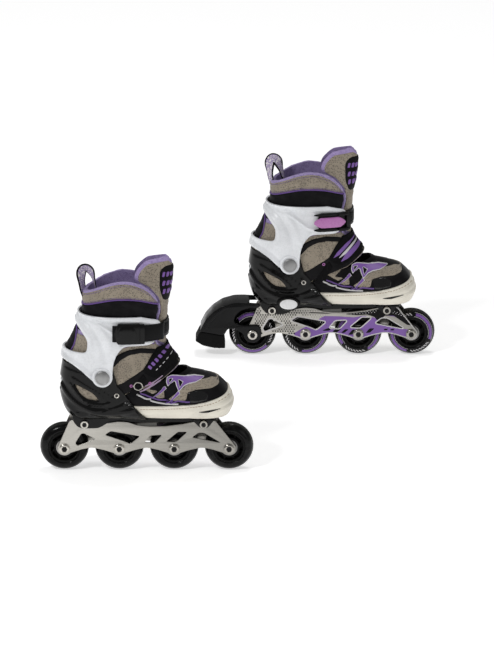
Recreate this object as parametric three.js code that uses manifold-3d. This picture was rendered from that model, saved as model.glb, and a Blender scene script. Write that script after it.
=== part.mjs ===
// Pair of children's size-adjustable inline skates, four wheels each, standing on their wheels.
// Millimetres, +Z up, toes towards +X. Each skate is modelled about its own X = 0, midway between
// its end axles, with its lateral side towards -Y; the left skate is the mirror image of the right.
import * as THREE from 'three';
import { mergeVertices } from 'three/addons/utils/BufferGeometryUtils.js';
import Module from 'manifold-3d';

const wasm = await Module();
wasm.setup();

// ---------------------------------------------------------------- driving dimensions
const WHEEL = { radius: 32, width: 24, pitch: 72, boreRadius: 11.4, sides: 18 };
const AXLE_HEIGHT = WHEEL.radius;
const AXLE_X = [-1.5, -0.5, 0.5, 1.5].map((step) => step * WHEEL.pitch);
const BEARING = { outerRadius: 11, boreRadius: 4.4, width: 7, spacerRadius: 6 };
const AXLE = { radius: 4, headRadius: 6.5, headLength: 3 };
const PLATE = { inner: 14, thickness: 2, bossInner: 12.4, bossRadius: 7 };
const BOLT = { radius: 3, headRadius: 5.5, headLength: 3 };
const REAR_BOLT = [-81.5, 67];
const FRONT_BOLT = [74.6, 67];
const CUFF_PIVOT = [-57.5, 138];
const PIVOT = { holeRadius: 4, bossRadius: 13, bossInner: 41.6, bossOuter: 43.8, capRadius: 9.3 };
const BUTTON_CENTRE = [-59, 82];
const BUTTON_HALF = [12, 7];
const GAP = 0.35;
// Play round bolt and axle shanks, and the half width that any cutting prism spans.
const SHANK_PLAY = 0.5;
const CUT = 60;
const SKATE_SPACING = { x: 247, y: 500 };

// Thickness of each layer of the boot, as distances out from the boot form.
const LAYER = {
  cavity: -3.4,
  sock: -1.9,
  vamp: [0.5, 2.8],
  toe: [0.5, 3.7],
  liner: 3.5,
  base: [4.2, 6.9],
  cuff: [7.6, 10.4],
  cuffStrap: 4.3,
  instepStrap: [4.1, 6.4],
};

// ---------------------------------------------------------------- solids and booleans
function solid(geometry) {
  let plain = geometry.clone();
  plain.deleteAttribute('normal');
  plain.deleteAttribute('uv');
  plain = mergeVertices(plain, 1e-4);
  const mesh = new wasm.Mesh({
    numProp: 3,
    vertProperties: new Float32Array(plain.attributes.position.array),
    triVerts: new Uint32Array(plain.index.array),
  });
  return new wasm.Manifold(mesh);
}

function geometryOf(manifold) {
  const mesh = manifold.getMesh();
  const geometry = new THREE.BufferGeometry();
  geometry.setAttribute('position', new THREE.BufferAttribute(mesh.vertProperties, 3));
  geometry.setIndex(new THREE.BufferAttribute(mesh.triVerts, 1));
  return geometry;
}

function mirrored(geometry) {
  const flipped = geometry.clone().applyMatrix4(new THREE.Matrix4().makeScale(1, -1, 1));
  const index = flipped.index.array;
  for (let i = 0; i < index.length; i += 3) {
    [index[i + 1], index[i + 2]] = [index[i + 2], index[i + 1]];
  }
  return flipped;
}

function outline(points) {
  return new THREE.Shape(points.map(([x, z]) => new THREE.Vector2(x, z)));
}

// A prism whose outline lies in the XZ plane, reaching from y0 to y1.
function prism(shape, y0, y1, curveSegments = 6) {
  const geometry = new THREE.ExtrudeGeometry(shape, { depth: y1 - y0, bevelEnabled: false, curveSegments });
  geometry.rotateX(Math.PI / 2);
  geometry.translate(0, y1, 0);
  return geometry;
}

function prismSolid(points, y0, y1) {
  return solid(prism(outline(points), y0, y1));
}

function box([x0, y0, z0], [x1, y1, z1]) {
  const geometry = new THREE.BoxGeometry(x1 - x0, y1 - y0, z1 - z0);
  geometry.translate((x0 + x1) / 2, (y0 + y1) / 2, (z0 + z1) / 2);
  return solid(geometry);
}

// A rod along Y through (x, z).
function rod([x, z], radius, y0, y1, sides = 12) {
  const geometry = new THREE.CylinderGeometry(radius, radius, y1 - y0, sides);
  geometry.translate(x, (y0 + y1) / 2, z);
  return solid(geometry);
}

// A body of revolution about Y, from a closed profile of [radius, y] points.
function turned(profile, sides) {
  const points = [...profile, profile[0]].map(([r, y]) => new THREE.Vector2(r, y));
  return new THREE.LatheGeometry(points, sides);
}

// ---------------------------------------------------------------- the boot form
// Each station is a section plane that fans from the leg to the toe: its rear or lower point,
// its front or upper point, the half width, and the squareness of each end.
const STATIONS = [
  { back: [-80, 282], front: [33, 306], half: 27, backPower: 2.2, frontPower: 2.3 },
  { back: [-80.5, 248], front: [28, 256], half: 30, backPower: 2.2, frontPower: 2.3 },
  { back: [-79.5, 232], front: [25, 236], half: 30.5, backPower: 2.2, frontPower: 2.3 },
  { back: [-82.5, 208], front: [22.5, 210], half: 31, backPower: 2.2, frontPower: 2.2 },
  { back: [-91, 189], front: [20.5, 190], half: 31.5, backPower: 2.2, frontPower: 2.2 },
  { back: [-99.5, 170], front: [22.5, 174], half: 32, backPower: 2.2, frontPower: 2.2 },
  { back: [-103, 154], front: [29, 161], half: 32.5, backPower: 2.2, frontPower: 2.1 },
  { back: [-107.5, 115], front: [44, 144], half: 32.5, backPower: 2.3, frontPower: 2.1 },
  { back: [-99, 85], front: [57.5, 135.4], half: 33, backPower: 2.6, frontPower: 2.1 },
  { back: [-84, 80.5], front: [63, 133.8], half: 33.5, backPower: 3, frontPower: 2.1 },
  { back: [-50, 80.5], front: [69, 132.2], half: 34.5, backPower: 3.4, frontPower: 2.1 },
  { back: [22, 80], front: [84, 127.7], half: 38, backPower: 3.6, frontPower: 2.1 },
  { back: [52, 79], front: [92, 124], half: 39, backPower: 3.6, frontPower: 2.2 },
  { back: [76, 78.5], front: [99, 117.5], half: 37, backPower: 3.4, frontPower: 2.3 },
  { back: [92, 78.5], front: [104.5, 110.5], half: 32, backPower: 3, frontPower: 2.4 },
  { back: [102, 80.5], front: [109, 101], half: 24, backPower: 2.6, frontPower: 2.4 },
  { back: [107, 86], front: [110, 94], half: 11, backPower: 2.2, frontPower: 2.2 },
];
const RING_SIDES = 12;

function stationPoint(station, turn) {
  const c = Math.cos(turn);
  const s = Math.sin(turn);
  const power = 2 / (c > 0 ? station.frontPower : station.backPower);
  const along = 0.5 + 0.5 * Math.sign(c) * Math.abs(c) ** power;
  const across = station.half * Math.sign(s) * Math.abs(s) ** power;
  const [bx, bz] = station.back;
  const [fx, fz] = station.front;
  return new THREE.Vector3(bx + (fx - bx) * along, across, bz + (fz - bz) * along);
}

// The boot form grown outwards by a distance, as one closed body.
function form(offset) {
  const rings = STATIONS.map((station) =>
    Array.from({ length: RING_SIDES }, (_, j) => stationPoint(station, (j * 2 * Math.PI) / RING_SIDES)));
  const last = rings.length - 1;
  const grown = rings.map((ring, i) => ring.map((point, j) => {
    const before = rings[Math.max(i - 1, 0)][j];
    const after = rings[Math.min(i + 1, last)][j];
    const left = ring[(j + RING_SIDES - 1) % RING_SIDES];
    const right = ring[(j + 1) % RING_SIDES];
    const down = new THREE.Vector3().subVectors(after, before);
    const around = new THREE.Vector3().subVectors(right, left);
    return new THREE.Vector3().crossVectors(around, down).normalize().multiplyScalar(-offset).add(point);
  }));
  const capCentre = (ring) =>
    ring.reduce((sum, p) => sum.add(p), new THREE.Vector3()).divideScalar(RING_SIDES);
  const top = capCentre(grown[0]);
  const toe = capCentre(grown[last]).add(new THREE.Vector3(Math.max(offset, -1.5), 0, 0));
  const vertices = [...grown.flat(), top, toe];
  const faces = [];
  for (let j = 0; j < RING_SIDES; j += 1) {
    const k = (j + 1) % RING_SIDES;
    for (let i = 0; i < last; i += 1) {
      const a = i * RING_SIDES + j;
      const b = i * RING_SIDES + k;
      faces.push(a, a + RING_SIDES, b, b, a + RING_SIDES, b + RING_SIDES);
    }
    faces.push(vertices.length - 2, j, k);
    faces.push(vertices.length - 1, last * RING_SIDES + k, last * RING_SIDES + j);
  }
  const geometry = new THREE.BufferGeometry();
  const positions = vertices.flatMap((v) => v.toArray());
  geometry.setAttribute('position', new THREE.Float32BufferAttribute(positions, 3));
  geometry.setIndex(faces);
  return solid(geometry);
}

function layer([inner, outer]) {
  return form(outer).subtract(form(inner));
}

// A level section of the boot near the buckle, for parts that wrap round the leg.
const LEG = { centre: -31, halfLength: 53.5, halfWidth: 31.2, power: 2.2 };
function legPoint(turn, offset) {
  const c = Math.cos(turn);
  const s = Math.sin(turn);
  const x = LEG.centre + (LEG.halfLength + offset) * Math.sign(c) * Math.abs(c) ** (2 / LEG.power);
  const y = (LEG.halfWidth + offset) * Math.sign(s) * Math.abs(s) ** (2 / LEG.power);
  return [x, y];
}

// A band round the leg: outline in the XY plane between two offset curves, standing z0 to z1.
function legBand(turnStart, turnEnd, innerOffset, outerOffset, z0, z1, steps = 8) {
  const turns = Array.from({ length: steps + 1 }, (_, i) => turnStart + ((turnEnd - turnStart) * i) / steps);
  const outer = turns.map((turn) => legPoint(turn, outerOffset(turn)));
  const inner = turns.map((turn) => legPoint(turn, innerOffset(turn))).reverse();
  const options = { depth: z1 - z0, bevelEnabled: false };
  const geometry = new THREE.ExtrudeGeometry(outline([...outer, ...inner]), options);
  geometry.translate(0, 0, z0);
  return solid(geometry);
}

// ---------------------------------------------------------------- chassis parts
function wheel() {
  const { radius, width, boreRadius, sides } = WHEEL;
  const rim = radius / Math.cos(Math.PI / sides);
  const half = width / 2;
  const profile = [
    [boreRadius, -half], [18, -half], [23, -11], [29, -8.5], [rim, -2],
    [rim, 2], [29, 8.5], [23, 11], [18, half], [boreRadius, half],
  ];
  const geometry = turned(profile, sides);
  geometry.rotateY(Math.PI / sides);
  return geometryOf(solid(geometry));
}

function bearingSet() {
  const { outerRadius, boreRadius, width, spacerRadius } = BEARING;
  const half = WHEEL.width / 2;
  const inner = half - width;
  return geometryOf(solid(turned([
    [boreRadius, -half], [outerRadius, -half], [outerRadius, -inner], [spacerRadius, -inner],
    [spacerRadius, inner], [outerRadius, inner], [outerRadius, half], [boreRadius, half],
  ], 10)));
}

function crossBolt(shankRadius, headRadius, headLength, reach) {
  return geometryOf(solid(turned([
    [0, -reach - headLength], [headRadius, -reach - headLength], [headRadius, -reach], [shankRadius, -reach],
    [shankRadius, reach], [headRadius, reach], [headRadius, reach + headLength], [0, reach + headLength],
  ], 10)));
}

function arcPoints([cx, cz], radius, startDegrees, endDegrees, steps) {
  return Array.from({ length: steps + 1 }, (_, i) => {
    const angle = THREE.MathUtils.degToRad(startDegrees + ((endDegrees - startDegrees) * i) / steps);
    return [cx + radius * Math.cos(angle), cz + radius * Math.sin(angle)];
  });
}

const FRAME_TOP = [
  [89, 71.4], [74, 71.2], [60, 68.6], [46, 65.6], [24, 62.8], [3.5, 62.5], [-12, 64], [-24, 68.4],
  [-37, 69.4], [-52, 67], [-66, 67.6], [-84, 72.4], [-101, 71],
];
const FRAME_WINDOWS = [
  [[-93.7, 39.5], [-86, 52.5], [-82, 53], [-67, 45], [-91, 36]],
  [[-54.7, 51], [-47, 56], [-9, 49], [-21.6, 38.4], [-28, 41.6]],
  [[-3, 40.7], [4.7, 50], [20, 50.8], [10, 40]],
  [[25.5, 41.6], [41, 55], [53, 55], [38.6, 41.2]],
  [[59.5, 47.4], [68, 54], [75.4, 53.6], [97, 40]],
];
const WEB_X = [[-87, -60], [-13, 13], [60, 84]];
const WEB_Z = [57.4, 60.4];

function frameOutline() {
  const [rear, second, third, front] = AXLE_X.map((x) => [x, AXLE_HEIGHT]);
  const points = [
    ...arcPoints(rear, 9, 165, 315, 4),
    [-72, 33.5],
    ...arcPoints(second, 8.5, 220, 320, 3),
    [0, 33.5],
    ...arcPoints(third, 8.5, 220, 320, 3),
    [72, 33.5],
    ...arcPoints(front, 9, 225, 385, 4),
    ...FRAME_TOP,
  ];
  return points;
}

function frame() {
  const shape = outline(frameOutline());
  const { inner, thickness, bossInner, bossRadius } = PLATE;
  let body = solid(prism(shape, inner, inner + thickness))
    .add(solid(prism(shape, -inner - thickness, -inner)));
  for (const x of AXLE_X) {
    body = body.add(rod([x, AXLE_HEIGHT], bossRadius, bossInner, inner + 0.5, 8));
    body = body.add(rod([x, AXLE_HEIGHT], bossRadius, -inner - 0.5, -bossInner, 8));
  }
  for (const [x0, x1] of WEB_X) {
    body = body.add(box([x0, -inner - 1, WEB_Z[0]], [x1, inner + 1, WEB_Z[1]]));
  }
  for (const window of FRAME_WINDOWS) body = body.subtract(prismSolid(window, -CUT, CUT));
  for (const x of AXLE_X) body = body.subtract(rod([x, AXLE_HEIGHT], AXLE.radius + SHANK_PLAY, -CUT, CUT, 8));
  for (const centre of [REAR_BOLT, FRONT_BOLT]) {
    body = body.subtract(rod(centre, BOLT.radius + SHANK_PLAY, -CUT, CUT, 8));
  }
  return geometryOf(body);
}

// ---------------------------------------------------------------- boot shells
const BASE_SIDE = [
  [-125, 149], [-84, 152], [-58, 155], [-44, 150], [-38, 126], [-16, 97], [6, 77.6], [6, 60], [-125, 60],
];
const BASE_WINDOW = [[-93, 126], [-69, 115], [-60, 104], [-76, 105.5], [-85, 112]];
const RAIL = { half: 13.2, bottom: 67, top: 74.3, front: 92 };
// Lugs outside the frame plates, which the frame bolts pass through.
const LUG = { inner: 16.4, outer: 20 };
const REAR_LUG = [[-97, 80], [-97, 71], [-90, 62.6], [-84, 61], [-64, 61], [-56, 65], [-48, 71], [-48, 80]];
const FRONT_LUG = [[56, 74.3], [60, 71.8], [69, 62.6], [75, 60.6], [81, 62.4], [88, 71.8], [92, 74.3]];

function baseShell() {
  let shell = layer(LAYER.base).intersect(prismSolid(BASE_SIDE, -CUT, CUT));
  shell = shell.subtract(prismSolid(BASE_WINDOW, -CUT, CUT));
  const [innerOffset] = LAYER.base;
  const inside = form(innerOffset);
  const { half, bottom, top, front } = RAIL;
  let blocks = prismSolid([[-90, 61], [-62, 61], [-56, bottom], [-56, 80], [-97, 80], [-97, 70]], -half, half);
  blocks = blocks.add(prismSolid([[60, 61], [84, 61], [89, 69], [front, 71.8], [front, top], [-58, top],
    [-58, bottom], [54, bottom]], -half, half));
  blocks = blocks.add(box([56, -LUG.outer, 71.8], [front, LUG.outer, top]));
  for (const [y0, y1] of [[LUG.inner, LUG.outer], [-LUG.outer, -LUG.inner]]) {
    blocks = blocks.add(prismSolid(REAR_LUG, y0, y1)).add(prismSolid(FRONT_LUG, y0, y1));
  }
  shell = shell.add(blocks.subtract(inside));
  for (const centre of [REAR_BOLT, FRONT_BOLT]) {
    shell = shell.subtract(rod(centre, BOLT.radius + SHANK_PLAY, -CUT, CUT, 8));
  }
  for (const side of [-1, 1]) {
    const ends = [side * 25, side * CUT].sort((a, b) => a - b);
    shell = shell.subtract(rod(CUFF_PIVOT, PIVOT.holeRadius, ...ends, 8));
  }
  shell = shell.add(ellipseRod(BUTTON_CENTRE, BUTTON_HALF[0] + 3, BUTTON_HALF[1] + 2.6, -41, -34).subtract(inside));
  shell = shell.subtract(ellipseRod(BUTTON_CENTRE, BUTTON_HALF[0] + GAP, BUTTON_HALF[1] + GAP, -60, -33));
  shell = shell.subtract(box([-118, -9, 113], [-108.5, 9, 128]));
  return geometryOf(shell);
}

function ellipseRod([x, z], halfX, halfZ, y0, y1) {
  const geometry = new THREE.CylinderGeometry(1, 1, y1 - y0, 14);
  geometry.scale(halfX, 1, halfZ);
  geometry.translate(x, (y0 + y1) / 2, z);
  return solid(geometry);
}

const TOE_RIM = [
  [-40, 97], [-8, 97], [22, 97.6], [49, 99.4], [74, 103], [94, 107.6], [108.5, 111.4], [125, 113],
];

function toeShell() {
  const side = [[-40, 60], ...TOE_RIM, [125, 60]];
  return geometryOf(layer(LAYER.toe).intersect(prismSolid(side, -CUT, CUT)));
}

// The edge between the sliding toe upper and the fixed part of the boot under the instep strap.
const VAMP_EDGE = [[8, 126], [20, 130], [50, 150.5]];

function toeUpper() {
  const rim = TOE_RIM.map(([x, z]) => [x, z + GAP]);
  const side = [
    [-29.5, 97 + GAP], ...rim.slice(1), [125, 160], [58, 160], ...VAMP_EDGE.slice().reverse(), [-29.5, 112],
  ];
  return geometryOf(layer(LAYER.vamp).intersect(prismSolid(side, -CUT, CUT)));
}

// ---------------------------------------------------------------- soft boot
function bootLiner() {
  const rear = [
    [-125, 60], [-40.5, 60], [-40.5, 98], [-30.3, 98], [-30.3, 113],
    ...VAMP_EDGE.map(([x, z]) => [x - GAP, z + GAP]), [42, 160], [30, 153], [-54, 150], [-125, 150],
  ];
  const sock = [[-125, 60], [125, 60], [125, 149], [-125, 149]];
  const body = form(LAYER.liner).intersect(prismSolid(rear, -CUT, CUT))
    .add(form(LAYER.sock).intersect(prismSolid(sock, -CUT, CUT)));
  return geometryOf(body.subtract(form(LAYER.cavity)));
}

const TONGUE_EDGE = [[9.8, 194.5], [9.5, 200], [16.5, 222], [15, 240], [3, 254.5], [-17, 264]];

function linerCollar() {
  const side = [
    [-125, 154], [-54, 152], [9, 179], ...TONGUE_EDGE.map(([x, z]) => [x - GAP, z - GAP]),
    [-30, 265], [-46, 262], [-64, 255], [-84, 246], [-125, 243],
  ];
  const body = form(LAYER.liner).subtract(form(LAYER.cavity)).intersect(prismSolid(side, -CUT, CUT));
  return geometryOf(body.add(pullLoop()));
}

// The webbing loop sewn inside the back of the collar.
function pullLoop() {
  const outer = [[-80.5, 236], [-83, 262], [-82, 273], [-76, 275.5], [-71, 268], [-66, 246]];
  const inner = [[-69, 247], [-73.5, 266], [-76.5, 271.5], [-79.6, 270], [-80.4, 262], [-78.6, 240]];
  const strip = prismSolid(outer, -7, 7).subtract(prismSolid(inner, -8, 8));
  return strip.add(prismSolid([[-81.6, 236], [-66, 236], [-66, 247], [-81.6, 247]], -7, 7)
    .subtract(form(LAYER.cavity)));
}

function tongue() {
  const side = [
    ...TONGUE_EDGE, [-13, 275], [-3, 285.5], [10, 292.5], [31, 297.5], [60, 290], [60, 194.5],
  ];
  return geometryOf(form(LAYER.liner).subtract(form(LAYER.cavity)).intersect(prismSolid(side, -CUT, CUT)));
}

// ---------------------------------------------------------------- cuff and closures
const CUFF_SIDE = [
  [-86, 231], [-47, 221], [-13, 221], [14, 213], [5, 180], [-30, 180], [-39, 168], [-43, 156], [-44.5, 132],
  [-53.5, 122.6], [-67.5, 131], [-83, 146], [-98, 155], [-125, 158], [-125, 170], [-103, 208], [-96, 208],
];
const CUFF_WINDOW = [[-94, 202], [-79, 177], [-82, 167], [-102, 169.5]];

function cuff() {
  let body = layer(LAYER.cuff).intersect(prismSolid(CUFF_SIDE, -CUT, CUT));
  const { holeRadius, bossRadius, bossInner, bossOuter } = PIVOT;
  for (const [y0, y1] of [[bossInner, bossOuter], [-bossOuter, -bossInner]]) {
    body = body.add(rod(CUFF_PIVOT, bossRadius, y0, y1, 14));
  }
  body = body.subtract(rod(CUFF_PIVOT, holeRadius, -CUT, CUT, 8));
  for (const [y0, y1] of [[12, CUT], [-CUT, -12]]) body = body.subtract(prismSolid(CUFF_WINDOW, y0, y1));
  return geometryOf(body);
}

function cuffPivot(side) {
  const { holeRadius, bossOuter, capRadius } = PIVOT;
  const inner = 36.6;
  const outer = bossOuter + 0.4;
  const cap = turned([[0, inner], [holeRadius - 0.5, inner], [holeRadius - 0.5, outer], [capRadius, outer],
    [capRadius, outer + 1.6], [capRadius - 1.7, outer + 3], [0, outer + 3]], 12);
  cap.translate(CUFF_PIVOT[0], 0, CUFF_PIVOT[1]);
  const geometry = geometryOf(solid(cap));
  return side > 0 ? geometry : mirrored(geometry);
}

const STRAP_THICKNESS = 2.4;
const BAND = { housing: [185, 211], strap: [187, 209], lever: [191, 206] };

function cuffStrap() {
  const outside = (turn) => strapOffset(turn) + STRAP_THICKNESS;
  const wrap = legBand(-0.62, 1.74, strapOffset, outside, ...BAND.strap, 12);
  const bracket = legBand(1.2, 1.7, () => LAYER.cuff[1] + 0.6, () => LAYER.cuff[1] + 5.6, 184, 212, 4);
  return geometryOf(wrap.add(bracket));
}

// The strap leaves the bracket outside the cuff and settles onto the tongue in front of it.
function strapOffset(turn) {
  const outside = LAYER.cuff[1] + 0.6;
  const blend = THREE.MathUtils.smoothstep(turn, 0.42, 0.7);
  return LAYER.cuffStrap + (outside - LAYER.cuffStrap) * blend;
}

function buckleBase() {
  const plate = legBand(-1.44, -0.72, () => LAYER.cuff[1] + 0.5, () => LAYER.cuff[1] + 3.6, ...BAND.housing, 7);
  const cheeks = legBand(-0.98, -0.72, () => LAYER.cuff[1] + 0.5, () => LAYER.cuff[1] + 8, ...BAND.housing, 3)
    .subtract(box([-CUT, -CUT, BAND.lever[0] - 0.6], [CUT, 0, BAND.lever[1] + 0.6])
      .subtract(legBand(-1.5, -0.5, () => -20, () => LAYER.cuff[1] + 3.6, 150, 240, 6)));
  return geometryOf(plate.add(cheeks));
}

function buckleLever() {
  return geometryOf(legBand(-1.5, -0.8, () => LAYER.cuff[1] + 4.2, () => LAYER.cuff[1] + 8.6, ...BAND.lever, 6));
}

function instepStrap() {
  const side = [[22, 184], [50, 166], [50, 152], [20, 133], [14, 131], [3, 137], [-2, 143]];
  return geometryOf(layer(LAYER.instepStrap).intersect(prismSolid(side, -CUT, CUT)));
}

function sizeButton() {
  return geometryOf(ellipseRod(BUTTON_CENTRE, ...BUTTON_HALF, -43, -38.6));
}

// ---------------------------------------------------------------- heel brake
const BRAKE = { inner: 16.4, outer: 19.6, lobeRadius: 12, padHalf: 17 };
const BRAKE_TOP = [
  [-98.5, 76], [-133, 77.5], [-149, 72.6], [-162, 63.6], [-172, 52.5], [-178.5, 39.5],
];

function brakeArm() {
  const { inner, outer, lobeRadius } = BRAKE;
  const rear = [AXLE_X[0], AXLE_HEIGHT];
  const side = [...BRAKE_TOP, [-179, 36], [-147, 30], [-141, 41], [-130, 40],
    ...arcPoints(rear, lobeRadius, 180, 360, 6), [-98.5, 44]];
  const wheelRoom = rod(rear, WHEEL.radius + 3, -inner, inner, 20);
  const throat = box([-150, -inner, 20], [-90, inner, 68]);
  const topCut = box([-112, -inner, 60], [-90, inner, 90]);
  return geometryOf(prismSolid(side, -outer, outer).subtract(wheelRoom).subtract(throat).subtract(topCut)
    .subtract(rod(rear, AXLE.radius + 0.3, -CUT, CUT, 10)));
}

function brakePad() {
  return geometryOf(prismSolid([[-179.4, 35.4], [-186, 22], [-176, 15.5], [-160, 11.8], [-145, 11.4],
    [-147, 29.4]], -BRAKE.padHalf, BRAKE.padHalf));
}

// ---------------------------------------------------------------- materials
function finish(color, roughness, metalness = 0) {
  return { color, roughness, metalness };
}
const FINISH = {
  aluminium: finish(0xb9bbbf, 0.35, 0.9),
  steel: finish(0xc9c9cc, 0.25, 1),
  urethane: finish(0x1c1a1e, 0.25),
  blackPlastic: finish(0x141416, 0.35),
  whitePlastic: finish(0xe8e8ea, 0.35),
  rim: finish(0xe4e3e0, 0.5),
  liner: finish(0x8d8480, 0.9),
  vamp: finish(0x232025, 0.8),
  tongue: finish(0x8f8786, 0.9),
  strap: finish(0x17161a, 0.75),
  lilac: finish(0xb26fbd, 0.35),
  rivet: finish(0x9b9b9d, 0.4, 0.6),
  button: finish(0xeeeeee, 0.35),
  rubber: finish(0x101010, 0.8),
};

// ---------------------------------------------------------------- assembly
const SHARED = {
  wheel: wheel(),
  bearing_set: bearingSet(),
  axle: crossBolt(AXLE.radius, AXLE.headRadius, AXLE.headLength, PLATE.inner + PLATE.thickness + GAP),
  brake_axle: crossBolt(AXLE.radius, AXLE.headRadius, AXLE.headLength, BRAKE.outer + GAP),
  frame_bolt: crossBolt(BOLT.radius, BOLT.headRadius, BOLT.headLength, LUG.outer + GAP),
  frame: frame(),
};
const RIGHT_PARTS = [
  ['base_shell', baseShell(), 'blackPlastic'],
  ['toe_shell', toeShell(), 'rim'],
  ['toe_upper', toeUpper(), 'vamp'],
  ['boot_liner', bootLiner(), 'liner'],
  ['liner_collar', linerCollar(), 'liner'],
  ['tongue', tongue(), 'tongue'],
  ['cuff', cuff(), 'whitePlastic'],
  ['cuff_pivot_outer', cuffPivot(-1), 'rivet'],
  ['cuff_pivot_inner', cuffPivot(1), 'rivet'],
  ['buckle_base', buckleBase(), 'blackPlastic'],
  ['buckle_lever', buckleLever(), 'lilac'],
  ['cuff_strap', cuffStrap(), 'strap'],
  ['instep_strap', instepStrap(), 'strap'],
  ['size_button', sizeButton(), 'button'],
];

function skate(side, isRight) {
  const group = new THREE.Group();
  const add = (name, geometry, look, [x, z] = [0, 0]) => {
    const mesh = new THREE.Mesh(geometry, new THREE.MeshStandardMaterial(FINISH[look]));
    mesh.name = `${side}_${name}`;
    mesh.position.set(x, 0, z);
    group.add(mesh);
  };
  add('frame', SHARED.frame, 'aluminium');
  add('frame_bolt_rear', SHARED.frame_bolt, 'steel', REAR_BOLT);
  add('frame_bolt_front', SHARED.frame_bolt, 'steel', FRONT_BOLT);
  AXLE_X.forEach((x, i) => {
    const place = [x, AXLE_HEIGHT];
    add(`wheel_${i + 1}`, SHARED.wheel, 'urethane', place);
    add(`bearing_set_${i + 1}`, SHARED.bearing_set, 'steel', place);
    add(`axle_${i + 1}`, isRight && i === 0 ? SHARED.brake_axle : SHARED.axle, 'steel', place);
  });
  for (const [name, geometry, look] of RIGHT_PARTS) add(name, isRight ? geometry : mirrored(geometry), look);
  if (isRight) {
    add('brake_arm', brakeArm(), 'blackPlastic');
    add('brake_pad', brakePad(), 'rubber');
  }
  return group;
}

const pair = new THREE.Group();
const left = skate('left', false);
left.position.set(-SKATE_SPACING.x / 2, -SKATE_SPACING.y / 2, 0);
const right = skate('right', true);
right.position.set(SKATE_SPACING.x / 2, SKATE_SPACING.y / 2, 0);
pair.add(left, right);

export default pair;
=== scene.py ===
import math

import bmesh
import bpy
import numpy as np
from mathutils import Matrix, Vector


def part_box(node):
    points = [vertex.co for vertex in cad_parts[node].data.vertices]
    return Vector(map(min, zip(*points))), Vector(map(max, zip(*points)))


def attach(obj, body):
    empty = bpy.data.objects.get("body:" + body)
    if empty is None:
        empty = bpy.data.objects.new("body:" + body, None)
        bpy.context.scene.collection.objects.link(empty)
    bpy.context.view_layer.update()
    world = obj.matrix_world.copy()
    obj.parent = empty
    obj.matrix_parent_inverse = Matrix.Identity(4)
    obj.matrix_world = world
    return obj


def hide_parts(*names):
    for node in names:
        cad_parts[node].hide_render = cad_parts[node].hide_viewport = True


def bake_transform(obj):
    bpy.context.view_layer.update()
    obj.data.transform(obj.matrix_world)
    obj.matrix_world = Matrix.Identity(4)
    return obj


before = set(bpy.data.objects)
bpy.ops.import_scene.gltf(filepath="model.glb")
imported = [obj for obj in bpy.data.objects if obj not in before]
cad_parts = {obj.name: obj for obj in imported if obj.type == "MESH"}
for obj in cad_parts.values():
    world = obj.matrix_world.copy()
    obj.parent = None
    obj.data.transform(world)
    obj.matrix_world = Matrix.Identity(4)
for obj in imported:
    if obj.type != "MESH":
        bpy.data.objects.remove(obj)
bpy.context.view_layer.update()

# Everything is modelled in millimetres about one skate: X = 0 midway between its end axles, toes
# towards +X, lateral side towards -Y, the floor at Z = 0. Skate objects turn that into the row frame.
MM = 0.001
SIDES = ("left", "right")
WHEEL_RADIUS = 32.0
WHEEL_PITCH = 72.0
AXLE_X = [step * WHEEL_PITCH for step in (-1.5, -0.5, 0.5, 1.5)]
CUFF_PIVOT = (-57.5, 138.0)
REAR_BOLT = (-81.5, 67.0)
FRONT_BOLT = (74.6, 67.0)
BUTTON_CENTRE = (-59.0, 82.0)
PLATE_INNER = 14.0
PLATE_OUTER = 16.0
LUG_INNER, LUG_OUTER = 16.4, 20.0
BRAKE_INNER, BRAKE_OUTER = 16.4, 19.6


def skate_origin(side):
    """The point on the floor midway between the end axles of that skate, in metres."""
    lows_highs = [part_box(f"{side}_wheel_{i}") for i in (1, 4)]
    centre = sum((low + high for low, high in lows_highs), Vector()) / 4
    return Vector((centre.x, centre.y, 0))


ORIGIN = {side: skate_origin(side) for side in SIDES}


# ------------------------------------------------------------------ the boot form
# Section planes that fan from the leg to the toe: rear or lower point, front or upper point, half
# width, and the squareness of the rear and front ends.
STATIONS = np.array([
    (-80, 282, 33, 306, 27, 2.2, 2.3),
    (-80.5, 248, 28, 256, 30, 2.2, 2.3),
    (-79.5, 232, 25, 236, 30.5, 2.2, 2.3),
    (-82.5, 208, 22.5, 210, 31, 2.2, 2.2),
    (-91, 189, 20.5, 190, 31.5, 2.2, 2.2),
    (-99.5, 170, 22.5, 174, 32, 2.2, 2.2),
    (-103, 154, 29, 161, 32.5, 2.2, 2.1),
    (-107.5, 115, 44, 144, 32.5, 2.3, 2.1),
    (-99, 85, 57.5, 135.4, 33, 2.6, 2.1),
    (-84, 80.5, 63, 133.8, 33.5, 3, 2.1),
    (-50, 80.5, 69, 132.2, 34.5, 3.4, 2.1),
    (22, 80, 84, 127.7, 38, 3.6, 2.1),
    (52, 79, 92, 124, 39, 3.6, 2.2),
    (76, 78.5, 99, 117.5, 37, 3.4, 2.3),
    (92, 78.5, 104.5, 110.5, 32, 3, 2.4),
    (102, 80.5, 109, 101, 24, 2.6, 2.4),
    (107, 86, 110, 94, 11, 2.2, 2.2),
    (109.99, 90.09, 110.01, 90.11, 0.01, 2, 2),
], float)
LAST_STATION = len(STATIONS) - 1


def catmull_rom(p0, p1, p2, p3, t):
    """The curve from p1 (t = 0) to p2 (t = 1)."""
    return 0.5 * (2 * p1 + (p2 - p0) * t + (2 * p0 - 5 * p1 + 4 * p2 - p3) * t ** 2
                  + (3 * p1 - p0 - 3 * p2 + p3) * t ** 3)


def station_at(s):
    """The section values at an array of station numbers."""
    s = np.clip(s, 0, LAST_STATION - 1e-6)
    i = s.astype(int)
    return catmull_rom(*(STATIONS[np.clip(i + k, 0, LAST_STATION)] for k in (-1, 0, 1, 2)), (s - i)[:, None])


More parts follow.
